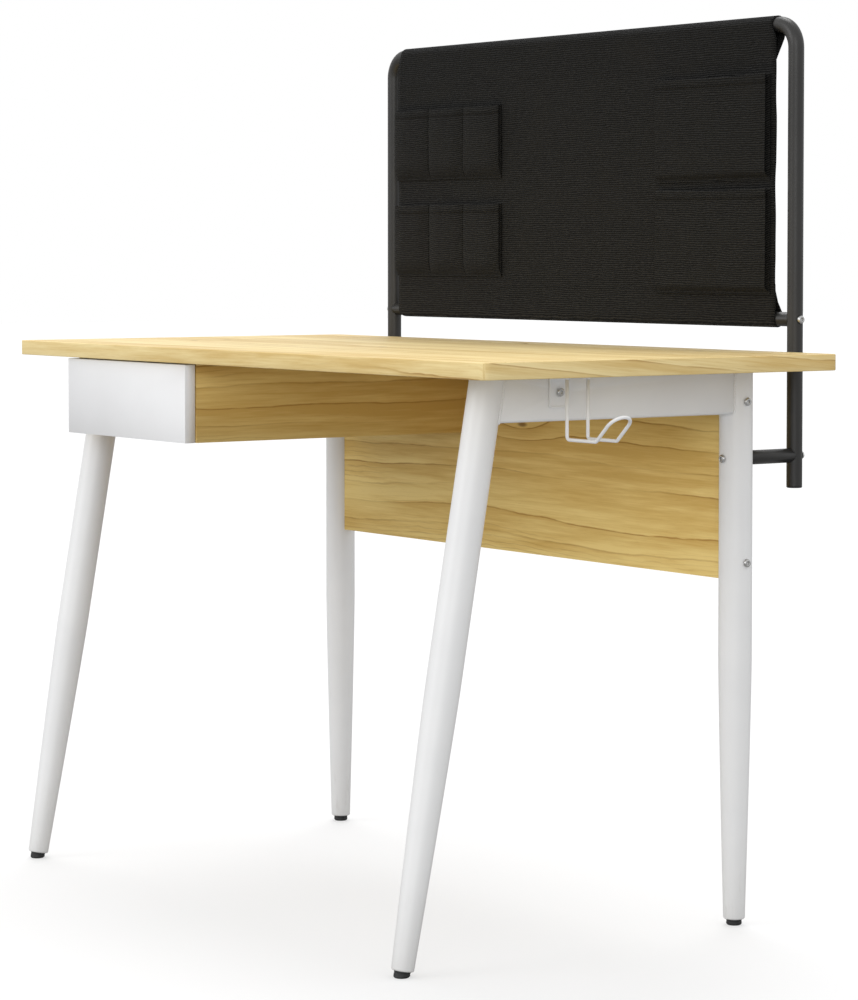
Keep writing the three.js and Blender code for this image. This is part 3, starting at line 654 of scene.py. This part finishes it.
for side in SIDES:
    for which in ("front", "back"):
        leg(which, side)
        glide(which, side)
        weld(which, side)
    dress(f"side_rail_{side}", WHITE_STEEL, 0.3 * MM, 40.0)


# ---- Bolts ----

HEAD_RADIUS = 5.4 * MM
HEAD_HEIGHT = 3.4 * MM
SHANK_RADIUS = 3.0 * MM
SOCKET_RADIUS = 2.3 * MM
SOCKET_DEPTH = 1.9 * MM


def hexagon(radius):
    """The radius of a hexagon at an angle, from the radius of its corners."""
    sixth = math.tau / 6
    return lambda angle: radius * math.cos(sixth / 2) / math.cos(angle % sixth - sixth / 2)


def button_bolt(node, direction, sides=36):
    """A domed bolt with a hexagon socket in a CAD bolt's place, its head facing a direction."""
    low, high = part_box(node)
    direction = Vector(direction)
    length = abs((high - low).dot(direction))
    seat = (low + high) / 2 + direction * (length / 2 - HEAD_HEIGHT)
    arc = [math.radians(a) for a in range(0, 61, 12)]
    dome = [
        (HEAD_RADIUS * (0.42 + 0.58 * math.cos(a)), HEAD_HEIGHT * (0.35 + 0.75 * math.sin(a)))
        for a in arc
    ]
    dome = [(r, min(h, HEAD_HEIGHT)) for r, h in dome if r > SOCKET_RADIUS * 1.3]
    profile = [
        (SHANK_RADIUS * 0.8, HEAD_HEIGHT - length),
        (SHANK_RADIUS, HEAD_HEIGHT - length + 0.6 * MM),
        (SHANK_RADIUS, 0.0), (HEAD_RADIUS * 0.97, 0.0), (HEAD_RADIUS, 0.2 * MM),
        *dome,
        (SOCKET_RADIUS * 1.18, HEAD_HEIGHT),
        (hexagon(SOCKET_RADIUS), HEAD_HEIGHT - 0.2 * MM),
        (hexagon(SOCKET_RADIUS), HEAD_HEIGHT - SOCKET_DEPTH),
        (0.3 * MM, HEAD_HEIGHT - SOCKET_DEPTH - 0.4 * MM),
    ]
    points, faces = turned(profile, sides, pointing(seat, direction))
    piece(f"{node}_button_head", points, faces, BOLT, [node], (0.12 * MM, 35.0, 1))


for side, sense in SIDES.items():
    for level in ("upper", "lower"):
        button_bolt(f"panel_bolt_{level}_{side}", (sense, 0, 0))
        dress(f"panel_insert_{level}_{side}", BOLT)
    button_bolt(f"arm_bolt_leg_{side}", (0, -1, 0))
    button_bolt(f"arm_bolt_post_{side}", (0, 1, 0))
    button_bolt(f"crossbar_bolt_{side}", (sense, 0, 0))
    for end in ("front", "back"):
        button_bolt(f"top_screw_{end}_{side}", (0, 0, -1))
button_bolt("hook_screw", (1, 0, 0))


# ---- Boards, drawer and runners ----

dress("table_top", PINE_TOP, 0.5 * MM, 40.0)
dress("modesty_panel", PINE_PANEL, 0.5 * MM)
dress("drawer_front", WHITE_BOARD, 0.9 * MM)
dress("drawer_back", PINE_DRAWER_BACK, 0.5 * MM)
dress("drawer_bottom", HARDBOARD, 0.3 * MM)
for side in SIDES:
    dress(f"drawer_case_side_{side}", PINE_CASE, 0.5 * MM)
    dress(f"drawer_side_{side}", PINE_DRAWER_SIDE, 0.5 * MM)
    dress(f"drawer_case_angle_{side}", ZINC, 0.25 * MM)
    for member in ("case", "middle", "drawer"):
        dress(f"runner_{member}_{side}", ZINC, 0.2 * MM)


def pan_screw(place, direction, radius=3.4 * MM, sides=24):
    """The head of a small pan-head screw with a cross recess."""

    def cross(angle):
        quarter = math.tau / 4
        arm = abs((angle + quarter / 2) % quarter - quarter / 2)
        return radius * (0.50 if arm < 0.28 else 0.20)

    profile = [
        (radius, 0.0), (radius, 0.5 * MM), (radius * 0.85, 1.2 * MM),
        (radius * 0.58, 1.6 * MM), (cross, 1.55 * MM), (cross, 0.6 * MM),
    ]
    return turned(profile, sides, pointing(place, direction))


def angle_screws(side, sense):
    """Screws through both flanges of the angle that holds a case side to the top."""
    low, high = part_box(f"drawer_case_angle_{side}")
    wall = 1.5 * MM
    parts = []
    for share in (0.12, 0.5, 0.88):
        y = low.y + (high.y - low.y) * share
        middle = (low.x + high.x) / 2
        parts.append(pan_screw(Vector((middle, y, high.z - wall)), (0, 0, -1)))
        face = high.x - wall if sense > 0 else low.x + wall
        parts.append(pan_screw(Vector((face, y, low.z + (high.z - low.z) * 0.45)), (-sense, 0, 0)))
    piece(f"angle_screws_{side}", *merged(parts), ZINC)


for side, sense in SIDES.items():
    angle_screws(side, sense)


# ---- Wire hook ----

HOOK_WALL = 2.0 * MM
HOOK_CORNER = 4.0 * MM
WIRE_RADIUS = 2.2 * MM
WIRE_REACH = 58.0 * MM
WIRE_LOOP = 30.0 * MM
WIRE_BEND = 5.0 * MM
WIRE_RISE = math.radians(42.0)


def rounded_outline(width, height, radius, count=8):
    """A rounded rectangle about the origin, anticlockwise."""
    points = []
    for k, (sx, sy) in enumerate(((1, 1), (-1, 1), (-1, -1), (1, -1))):
        for i in range(count + 1):
            angle = math.tau / 4 * (k + i / count)
            x = sx * (width / 2 - radius) + radius * math.cos(angle)
            y = sy * (height / 2 - radius) + radius * math.sin(angle)
            points.append((x, y))
    return points


def pressed_plate(width, height, profile, place):
    """A plate with rounded corners, drawn as rings of (inset, rise), then placed."""
    points, count = [], 0
    for inset, rise in profile:
        radius = max(HOOK_CORNER - inset, 0.6 * MM)
        ring = rounded_outline(width - 2 * inset, height - 2 * inset, radius)
        count = len(ring)
        points += [place @ Vector((x, y, rise)) for x, y in ring]
    return points, capped(ring_faces(len(profile), count), len(profile), count)


def hook():
    """The pressed bracket under the top, the bent wire, and the welds between them."""
    low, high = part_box("hook_bracket")
    middle = (low + high) / 2
    width = high.y - low.y
    raised_rim = [(0.0, 0.0), (0.0, 2.3 * MM), (0.35 * MM, 2.7 * MM), (2.2 * MM, 2.7 * MM)]
    raised_rim += [(3.0 * MM, 1.4 * MM), (3.8 * MM, 1.2 * MM)]
    plate = Matrix.Translation(Vector((low.x, middle.y, middle.z))) @ Matrix(
        ((0, 0, 1, 0), (1, 0, 0, 0), (0, 1, 0, 0), (0, 0, 0, 1))
    )
    under_top = Vector((middle.x, middle.y, high.z))
    flange = Matrix.Translation(under_top) @ Matrix.Rotation(math.pi, 4, "X")
    flat = [(0.0, 0.0), (0.0, 1.6 * MM), (0.4 * MM, 2.0 * MM), (2.0 * MM, 2.0 * MM)]
    parts = [
        pressed_plate(width, high.z - low.z, raised_rim, plate),
        pressed_plate(high.x - low.x, width, flat, flange),
    ]
    piece("hook_pressed_bracket", *merged(parts), WHITE_STEEL, ["hook_bracket"],
          (0.15 * MM, 30.0, 1))

    wire_low, wire_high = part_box("hook_wire")
    x0 = wire_low.x + WIRE_RADIUS
    x1 = x0 + WIRE_REACH
    z = wire_low.z + WIRE_RADIUS
    half = (wire_high.y - wire_low.y) / 2 - WIRE_RADIUS
    rise = WIRE_LOOP + half
    xe, ze = x1 + rise * math.cos(WIRE_RISE), z + rise * math.sin(WIRE_RISE)
    run = [(x0, wire_high.z), (x0, z), (x1, z), (xe, ze)]
    corners = [Vector((x, middle.y - half, h)) for x, h in run]
    corners += [Vector((x, middle.y + half, h)) for x, h in reversed(run)]
    loop = half * 0.999
    path = bent_path(corners, [WIRE_BEND, WIRE_BEND, loop, loop, WIRE_BEND, WIRE_BEND])
    piece("hook_bent_wire", *swept(path, WIRE_RADIUS, 24), WHITE_STEEL, ["hook_wire"])

    blob = [(WIRE_RADIUS * 1.8, 0.0), (WIRE_RADIUS * 1.6, 0.7 * MM)]
    blob += [(WIRE_RADIUS * 1.25, 1.8 * MM), (WIRE_RADIUS, 2.8 * MM)]
    joints = [
        turned(blob, 20, pointing(Vector((x0, middle.y + y, high.z - HOOK_WALL)), (0, 0, -1)))
        for y in (-half, half)
    ]
    piece("hook_wire_welds", *merged(joints), WHITE_STEEL)


hook()


# ---- Screen frame ----

frame_low, frame_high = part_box("screen_frame")
post_radius = (frame_high.y - frame_low.y) / 2
post_y = (frame_low.y + frame_high.y) / 2
bar_z = frame_high.z - post_radius
POST_BEND = 32.0 * MM


def screen_tube():
    """The tube bent into a hoop, from the foot of one post to the other's."""
    left, right = frame_low.x + post_radius, frame_high.x - post_radius
    corners = [(left, frame_low.z), (left, bar_z), (right, bar_z), (right, frame_low.z)]
    path = bent_path([Vector((x, post_y, z)) for x, z in corners], [POST_BEND, POST_BEND])
    piece("screen_bent_tube", *swept(path, post_radius, 48), BLACK_STEEL, ["screen_frame"],
          (0.3 * MM, 40.0))


screen_tube()
dress("screen_crossbar", BLACK_STEEL, 0.2 * MM, 40.0)
for side in SIDES:
    dress(f"screen_arm_{side}", BLACK_STEEL, 0.2 * MM, 40.0)
    dress(f"post_cap_{side}", PLASTIC, 0.3 * MM, 40.0)


# ---- Cloth screen ----

CLOTH_THICKNESS = 1.1 * MM
CLOTH_GAP = 1.25 * MM  # from a bar's surface to the middle of the cloth round it
LAYER_GAP = 1.5 * MM  # between the middles of two layers sewn together
TOP_SEAM = 47.0 * MM
LOW_SEAM = 38.0 * MM
SEAM_ALLOWANCE = 8.0 * MM
HEM = 10.0 * MM
TOP_DRAW_IN = 7.0 * MM  # how far the cloth's side edges draw in at a sleeve
LOW_DRAW_IN = 6.0 * MM
TOP_DRAW_HEIGHT = 16.0 * MM
EDGE_WAVER = 1.4 * MM
BELLY = 1.6 * MM
EDGE_LIFT = 2.8 * MM
PUCKER = 0.3 * MM

cloth_low, cloth_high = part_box("screen_fabric")
cloth_middle = (cloth_low.x + cloth_high.x) / 2
crossbar_low, crossbar_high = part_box("screen_crossbar")
crossbar_z = (crossbar_low.z + crossbar_high.z) / 2
crossbar_radius = (crossbar_high.z - crossbar_low.z) / 2


def sleeve_path(radius, height, seam, sense):
    """The cloth's line in Y and Z from a sleeve's raw end, round its bar, to the bar's front."""
    r = radius + CLOTH_GAP
    spread = 2 * math.atan(r / seam)
    front = post_y - r
    behind = front + LAYER_GAP
    points = [(behind, height - sense * (seam + SEAM_ALLOWANCE * k / 3)) for k in (3, 2, 1, 0)]
    arc = evenly(-spread, math.pi, 18)
    on_bar = [(post_y + r * math.cos(a), height + sense * r * math.sin(a)) for a in arc]
    back_y, back_z = on_bar[0]
    slope = zip(evenly(behind, back_y, 6), evenly(points[3][1], back_z, 6))
    return points + list(slope)[1:-1] + on_bar


def screen_path():
    """The whole line of the cloth, from its upper raw end to its lower one."""
    top = sleeve_path(post_radius, bar_z, TOP_SEAM, 1)
    foot = list(reversed(sleeve_path(crossbar_radius, crossbar_z, LOW_SEAM, -1)))
    ys, zs = (evenly(start, end, 64)[1:-1] for start, end in zip(top[-1], foot[0]))
    return top, list(zip(ys, zs)), foot


def toward_edge(x):
    """0 in the middle of the screen and 1 at its side edges."""
    return abs(x - cloth_middle) / ((cloth_high.x - cloth_low.x) / 2)


def ripple(x, z):
    """How far the cloth stands off its flat plane: loosest between its bars and at its edges."""
    share = min(max((z - crossbar_z) / (bar_z - crossbar_z), 0.0), 1.0)
    slack = math.sin(math.pi * share) ** 0.7
    broad = noise.noise(Vector((x * 5.0, 3.0, z * 4.0)))
    lift = noise.noise(Vector((x * 2.0, 9.0, z * 13.0)))
    pull = noise.noise(Vector((x * 34.0, 5.0, z * 3.0))) * (1 - slack)
    edge = toward_edge(x) ** 8
    return slack * (BELLY * broad + EDGE_LIFT * lift * edge) + pull * PUCKER


def screen_point(x, y, z, front):
    """A point of the cloth, whose side edges waver and draw in where it goes round the bars."""
    inward = EDGE_WAVER * noise.noise(Vector((math.copysign(3.0, x), 1.0, z * 16.0)))
    if z > bar_z - TOP_DRAW_HEIGHT:
        drawn = min((z - bar_z + TOP_DRAW_HEIGHT) / TOP_DRAW_HEIGHT, 1.0)
        inward = abs(inward) + TOP_DRAW_IN * drawn
    elif not front and z < (bar_z + crossbar_z) / 2:
        drawn = min(max((y - post_y + crossbar_radius) / crossbar_radius, 0.0), 1.0)
        inward = abs(inward) + LOW_DRAW_IN * drawn
    shift = abs(inward * toward_edge(x) ** 10)
    y += ripple(x, z) if front else 0.0
    return Vector((x - math.copysign(shift, x - cloth_middle), y, z))


def thick(made, thickness):
    """Gives a sheet of cloth its thickness, half on each side."""
    solid = made.modifiers.new("cloth_thickness", "SOLIDIFY")
    solid.thickness = thickness
    solid.offset = 0.0


def line_length(points):
    return sum(math.dist(a, b) for a, b in zip(points, points[1:]))


OUTWARD = Vector((0.0, -1.0, 0.0))

# A stitch's rings: share of its length, size, and how deep it sinks into the cloth.
STITCH = ((-0.5, 0.35, 0.9), (-0.2, 1.0, 0.1), (0.2, 1.0, 0.1), (0.5, 0.35, 0.9))


def stitch_run(line, pitch=3.6 * MM, length=2.6 * MM, radius=0.34 * MM):
    """Separate stitches along a line, each a small rounded lozenge that dips at its ends."""
    parts = []
    index, start = 0, 0.0
    for k in range(int(line_length(line) / pitch)):
        target = (k + 0.5) * pitch
        while index < len(line) - 2 and start + (line[index + 1] - line[index]).length < target:
            start += (line[index + 1] - line[index]).length
            index += 1
        step = line[index + 1] - line[index]
        along = step.normalized()
        middle = line[index] + along * (target - start)
        up = (OUTWARD - along * OUTWARD.dot(along)).normalized()
        side = along.cross(up)
        rings = []
        for share, grow, sink in STITCH:
            spot = middle + along * (share * length) - up * (sink * radius)
            for angle in (math.tau * a / 6 for a in range(6)):
                out = side * math.cos(angle) + up * math.sin(angle)
                rings.append(spot + out * (radius * grow))
        parts.append((rings, capped(ring_faces(len(STITCH), 6), len(STITCH), 6)))
    return merged(parts)


def cloth_screen():
    """The cloth, its side hems behind, and the stitches of its sleeves and hems."""
    top, between, foot = screen_path()
    line = top + between + foot
    fronts = [False] * len(top) + [True] * len(between) + [False] * len(foot)
    xs = evenly(cloth_low.x, cloth_high.x, 120)
    points = [screen_point(x, y, z, f) for (y, z), f in zip(line, fronts) for x in xs]
    faces = ring_faces(len(line), len(xs), closed=False)
    made = piece("screen_cloth", points, faces, CLOTH, replaces=["screen_fabric"])
    thick(made, CLOTH_THICKNESS)

    (y0, z0), (y1, z1) = top[-1], foot[0]
    skin = CLOTH_THICKNESS / 2 + 0.12 * MM

    def face_y(z):
        return y0 + (y1 - y0) * (z - z0) / (z1 - z0)

    def on_face(x, z):
        return Vector((x, face_y(z) + ripple(x, z) - skin, z))

    span = evenly(cloth_low.x + 4 * MM, cloth_high.x - 4 * MM, 160)
    seams = [
        [on_face(x, z) for x in span]
        for z in (bar_z - TOP_SEAM, bar_z - TOP_SEAM - 5 * MM, crossbar_z + LOW_SEAM)
    ]
    heights = evenly(crossbar_z + 14 * MM, bar_z - 10 * MM, 120)
    seams += [
        [on_face(x, z) for z in heights]
        for x in (cloth_low.x + HEM * 0.8, cloth_high.x - HEM * 0.8)
    ]
    runs = [stitch_run(seam) for seam in seams]
    extras = [piece("screen_stitching", *merged(runs), THREAD)]

    behind = Vector((0.0, CLOTH_THICKNESS + 0.15 * MM, 0.0))
    rows = evenly(crossbar_z + 12 * MM, bar_z - 12 * MM, 64)
    for side, sense in SIDES.items():
        edge = cloth_low.x if sense < 0 else cloth_high.x
        xs = evenly(edge, edge - sense * HEM, 4)
        strip = [screen_point(x, face_y(z), z, True) + behind for z in rows for x in xs]
        faces = ring_faces(len(rows), len(xs), closed=False)
        hem = piece(f"screen_hem_{side}", strip, faces, CLOTH)
        thick(hem, CLOTH_THICKNESS)
        extras.append(hem)


cloth_screen()


# ---- Sewn pockets ----

POCKET_CLOTH = 0.9 * MM
POCKET_HEM = 12.0 * MM
HEM_FOLD = 0.65 * MM  # how far the folded hem stands off the pocket's cloth
HEM_CLOTH = 0.4 * MM
MOUTH_SAG = 1.6 * MM
POCKET_WAVE = 0.55 * MM
POCKET_SLACK = 0.9 * MM
POCKET_LEAN = 1.1 * MM


# The hem's line up the front, over the mouth and down inside: millimetres below the mouth, and
# the share of the fold by which it stands off.
HEM_TURN = (
    (12.0, 1.0), (6.0, 1.0), (1.0, 1.0), (0.2, 0.7), (-0.35, 0.0), (0.2, -0.7), (7.2, -1.0))


class PocketRow:
    """A strip of cloth sewn down at its foot, its ends and between its pockets, open at the top.
    Beside each seam it folds in under the front, as a bellows pocket's wall does."""

    WALL = 0.06  # share of a pocket's cloth that is each side wall
    CORNER = 0.7 * MM  # from a front corner to its seam, sideways

    def __init__(self, node, count, tuck, crown, foot_share, mouth, swell, left_swell=None):
        self.node = node
        self.count = count
        self.tuck = tuck  # how far a side wall folds in
        self.crown = crown  # share of the depth by which the front bows out in its middle
        self.foot_share = foot_share  # share of the height in which it fills out
        self.mouth = mouth  # depth at the mouth, as a share of the deepest
        self.swell = swell  # depth at the right end, as a share of the solid's
        self.left_swell = swell if left_swell is None else left_swell
        self.low, self.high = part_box(node)
        self.back = self.high.y + 0.3 * MM - POCKET_CLOTH
        self.width = (self.high.x - self.low.x) / count
        self.tall = self.high.z - self.low.z

    def section(self, u, filled):
        """Across one pocket: the distance from its left seam, and the share of the full depth."""
        from_end = min(u, 1 - u)
        if from_end < self.WALL:
            s = from_end / self.WALL
            aside = self.CORNER * s + self.tuck * math.sin(math.pi * s) * filled
            return (aside if u < 0.5 else self.width - aside), (1 - self.crown) * s
        v = (u - self.WALL) / (1 - 2 * self.WALL)
        bow = self.crown * (1 - abs(2 * v - 1) ** 3)
        return self.CORNER + v * (self.width - 2 * self.CORNER), 1 - self.crown + bow

    def point(self, place, t, lift=0.0):
        """A point of the cloth: place counts pockets from the left, t runs from foot to mouth."""
        index = min(int(place), self.count - 1)
        u = place - index
        rise = min(max((t - 0.03) / self.foot_share, 0.0), 1.0)
        filled = math.sin(rise * math.pi / 2) ** 0.8
        opening = 1.0 if t < 0.5 else 1 - (1 - self.mouth) * (2 * t - 1) ** 2
        aside, share = self.section(u, filled)
        swell = self.left_swell + (self.swell - self.left_swell) * (place / self.count) ** 0.8
        deep = (self.high.y - self.low.y) * swell * share * filled * opening
        x = self.low.x + index * self.width + aside
        z = self.low.z + t * self.tall
        sag = MOUTH_SAG * math.sin(math.pi * u) * t**3
        full = min(deep / (3 * MM), 1.0)
        wave = noise.noise(Vector((x * 40.0, self.low.z * 50.0, z * 16.0)))
        slack = noise.noise(Vector((x * 17.0, self.low.z * 31.0, z * 9.0)))
        y = self.back - deep - full * (POCKET_WAVE * wave + POCKET_SLACK * slack) - lift
        tilt = noise.noise(Vector((place * 3.1, self.low.z * 20.0 + t * 1.5, 2.0)))
        return Vector((x + POCKET_LEAN * tilt * full, y, z - sag))

    def places(self, per_pocket):
        """Places from end to end, closer together at the seams and corners."""
        wall = [self.WALL * k / 8 for k in range(8)]
        front = [self.WALL + (1 - 2 * self.WALL) * (1 - math.cos(math.pi * k / per_pocket)) / 2
                 for k in range(per_pocket + 1)]
        one = wall + front + [1 - w for w in reversed(wall[1:])]
        return [index + u for index in range(self.count) for u in one] + [float(self.count)]

    def fabric(self, name, rings, places, replaces=()):
        """A piece of cloth through the points at each place, for every (t, lift) ring."""
        points = [self.point(p, t, lift) for t, lift in rings for p in places]
        faces = ring_faces(len(rings), len(places), closed=False)
        return piece(name, points, faces, POCKET_FABRIC, replaces=replaces)

    def make(self, name, per_pocket, rows):
        places = self.places(per_pocket)
        rings = [((k / rows) ** 1.5, 0.0) for k in range(rows + 1)]
        cloth = self.fabric(name, rings, places, replaces=[self.node])
        thick(cloth, POCKET_CLOTH)
        band = [(1 - below * MM / self.tall, HEM_FOLD * share) for below, share in HEM_TURN]
        hem = self.fabric(f"{name}_hem", band, places)
        thick(hem, HEM_CLOTH)

        skin = POCKET_CLOTH / 2 + 0.1 * MM
        foot = 2.2 * MM / self.tall
        hem_seam = 1 - (POCKET_HEM - 2 * MM) / self.tall
        seams = [[self.point(p, foot, skin) for p in places]]
        for index in range(self.count):
            start = index + self.WALL * 1.05
            front = evenly(start, start + 1 - self.WALL * 2.1, per_pocket)
            seams.append([self.point(p, hem_seam, HEM_FOLD + 0.4 * MM) for p in front])
        up = evenly(0.0, 1.0, 60)
        seams += [[self.point(float(k), t, skin) for t in up] for k in range(self.count + 1)]
        runs = [stitch_run(seam) for seam in seams]
        sewing = piece(f"{name}_stitching", *merged(runs), THREAD)

        around = [self.point(p, 0.6) for p in places]


for level in ("upper", "lower"):
    small = PocketRow(f"small_pockets_{level}", 3, tuck=1.6 * MM, crown=0.42, foot_share=0.20,
                      mouth=0.80, swell=1.0)
    small.make(f"card_pockets_{level}", 20, 40)
    large = PocketRow(f"large_pocket_{level}", 1, tuck=7.0 * MM, crown=0.08, foot_share=0.06,
                      mouth=0.95, swell=0.82, left_swell=0.34)
    large.make(f"wide_pocket_{level}", 60, 44)


# ---- Floor, light and camera ----

FLOOR_BOUNCE = 0.36  # how much light the floor throws back at the desk
FLOOR_TONE = 0.42  # the floor's own grey and its glow, as the camera sees them
FLOOR_GLOW = 0.545
FLOOR_REACH = 30.0
FLOOR_DROP = 0.4 * MM  # keeps the floor off the soles
SKY = (0.985, 0.99, 1.0, 1.0)
SKY_STRENGTH = 0.90
WHITE = (1.0, 1.0, 1.0, 1.0)


def seen_apart(tree, lights, seen, output):
    """Mixes the shader that lights the desk with the one that is seen straight on."""
    rays = tree.nodes.new("ShaderNodeLightPath")
    either = tree.nodes.new("ShaderNodeMixShader")
    tree.links.new(rays.outputs["Is Camera Ray"], either.inputs["Fac"])
    tree.links.new(lights.outputs[0], either.inputs[1])
    tree.links.new(seen.outputs[0], either.inputs[2])
    tree.links.new(either.outputs["Shader"], tree.nodes[output].inputs["Surface"])


def sky():
    """Soft light from all round, in front of a white backdrop."""
    scene = bpy.context.scene
    scene.view_settings.view_transform = "Standard"
    scene.world = bpy.data.worlds.new("studio")
    scene.world.use_nodes = True
    tree = scene.world.node_tree
    around = tree.nodes["Background"]
    backdrop = tree.nodes.new("ShaderNodeBackground")
    for background, colour, strength in ((around, SKY, SKY_STRENGTH), (backdrop, WHITE, 1.0)):
        background.inputs["Color"].default_value = colour
        background.inputs["Strength"].default_value = strength
    seen_apart(tree, around, backdrop, "World Output")


def floor():
    """A wide sheet of white paper, brighter to the eye than the light it throws back."""
    paper = Finish("studio_floor", Specular_IOR_Level=0.0, Roughness=1.0)
    paper.place()
    mottle = paper.noise(paper.spot, 3.0, 2.0)
    dull, duller = (FLOOR_BOUNCE,) * 3, (FLOOR_BOUNCE * 0.98,) * 3
    paper.surface(Base_Color=paper.mix(mottle, dull, duller))
    bright = paper.node("ShaderNodeBsdfPrincipled", inputs={
        "Base Color": (FLOOR_TONE,) * 3,
        "Roughness": 1.0,
        "Specular IOR Level": 0.0,
        "Emission Color": WHITE,
        "Emission Strength": FLOOR_GLOW,
    })
    seen_apart(paper.tree, paper.shader, bright, "Material Output")
    mesh = bpy.data.meshes.new("studio_floor")
    signs = ((-1, -1), (1, -1), (1, 1), (-1, 1))
    corners = [(x * FLOOR_REACH, y * FLOOR_REACH, 0.0) for x, y in signs]
    mesh.from_pydata(corners, [], [(0, 1, 2, 3)])
    mesh.materials.append(paper.material)
    ground = placed("studio_floor", mesh)
    ground.location.z = -FLOOR_DROP


def lamp(name, place, target, strength, softness):
    """A distant soft lamp, with its direction given by two points and its softness in degrees."""
    light = bpy.data.lights.new(name, "SUN")
    light.energy = strength
    light.angle = math.radians(softness)
    made = placed(name, light)
    made.location = place
    made.rotation_euler = (Vector(target) - Vector(place)).to_track_quat("-Z", "Y").to_euler()


def camera():
    """A long lens from the front right, just above the height of the table."""
    lens = bpy.data.cameras.new("camera")
    lens.lens = 114.456
    lens.sensor_width = 36.0
    lens.shift_y = -0.12
    lens.clip_end = 60.0
    made = placed("camera", lens)
    made.location = (3.6078, -2.4914, 0.8840)
    made.rotation_euler = (math.radians(90.0 - 2.348), 0.0, math.radians(54.925))
    bpy.context.scene.camera = made


sky()
floor()
lamp("key", (-1.2, -4.2, 2.3), (0.0, 0.0, 0.6), strength=0.60, softness=30.0)
lamp("fill", (3.4, -3.4, 1.5), (0.0, 0.0, 0.5), strength=0.50, softness=34.0)
lamp("top", (-1.3, 0.9, 3.5), (0.0, 0.0, 0.7), strength=1.05, softness=30.0)
camera()

bpy.context.view_layer.update()
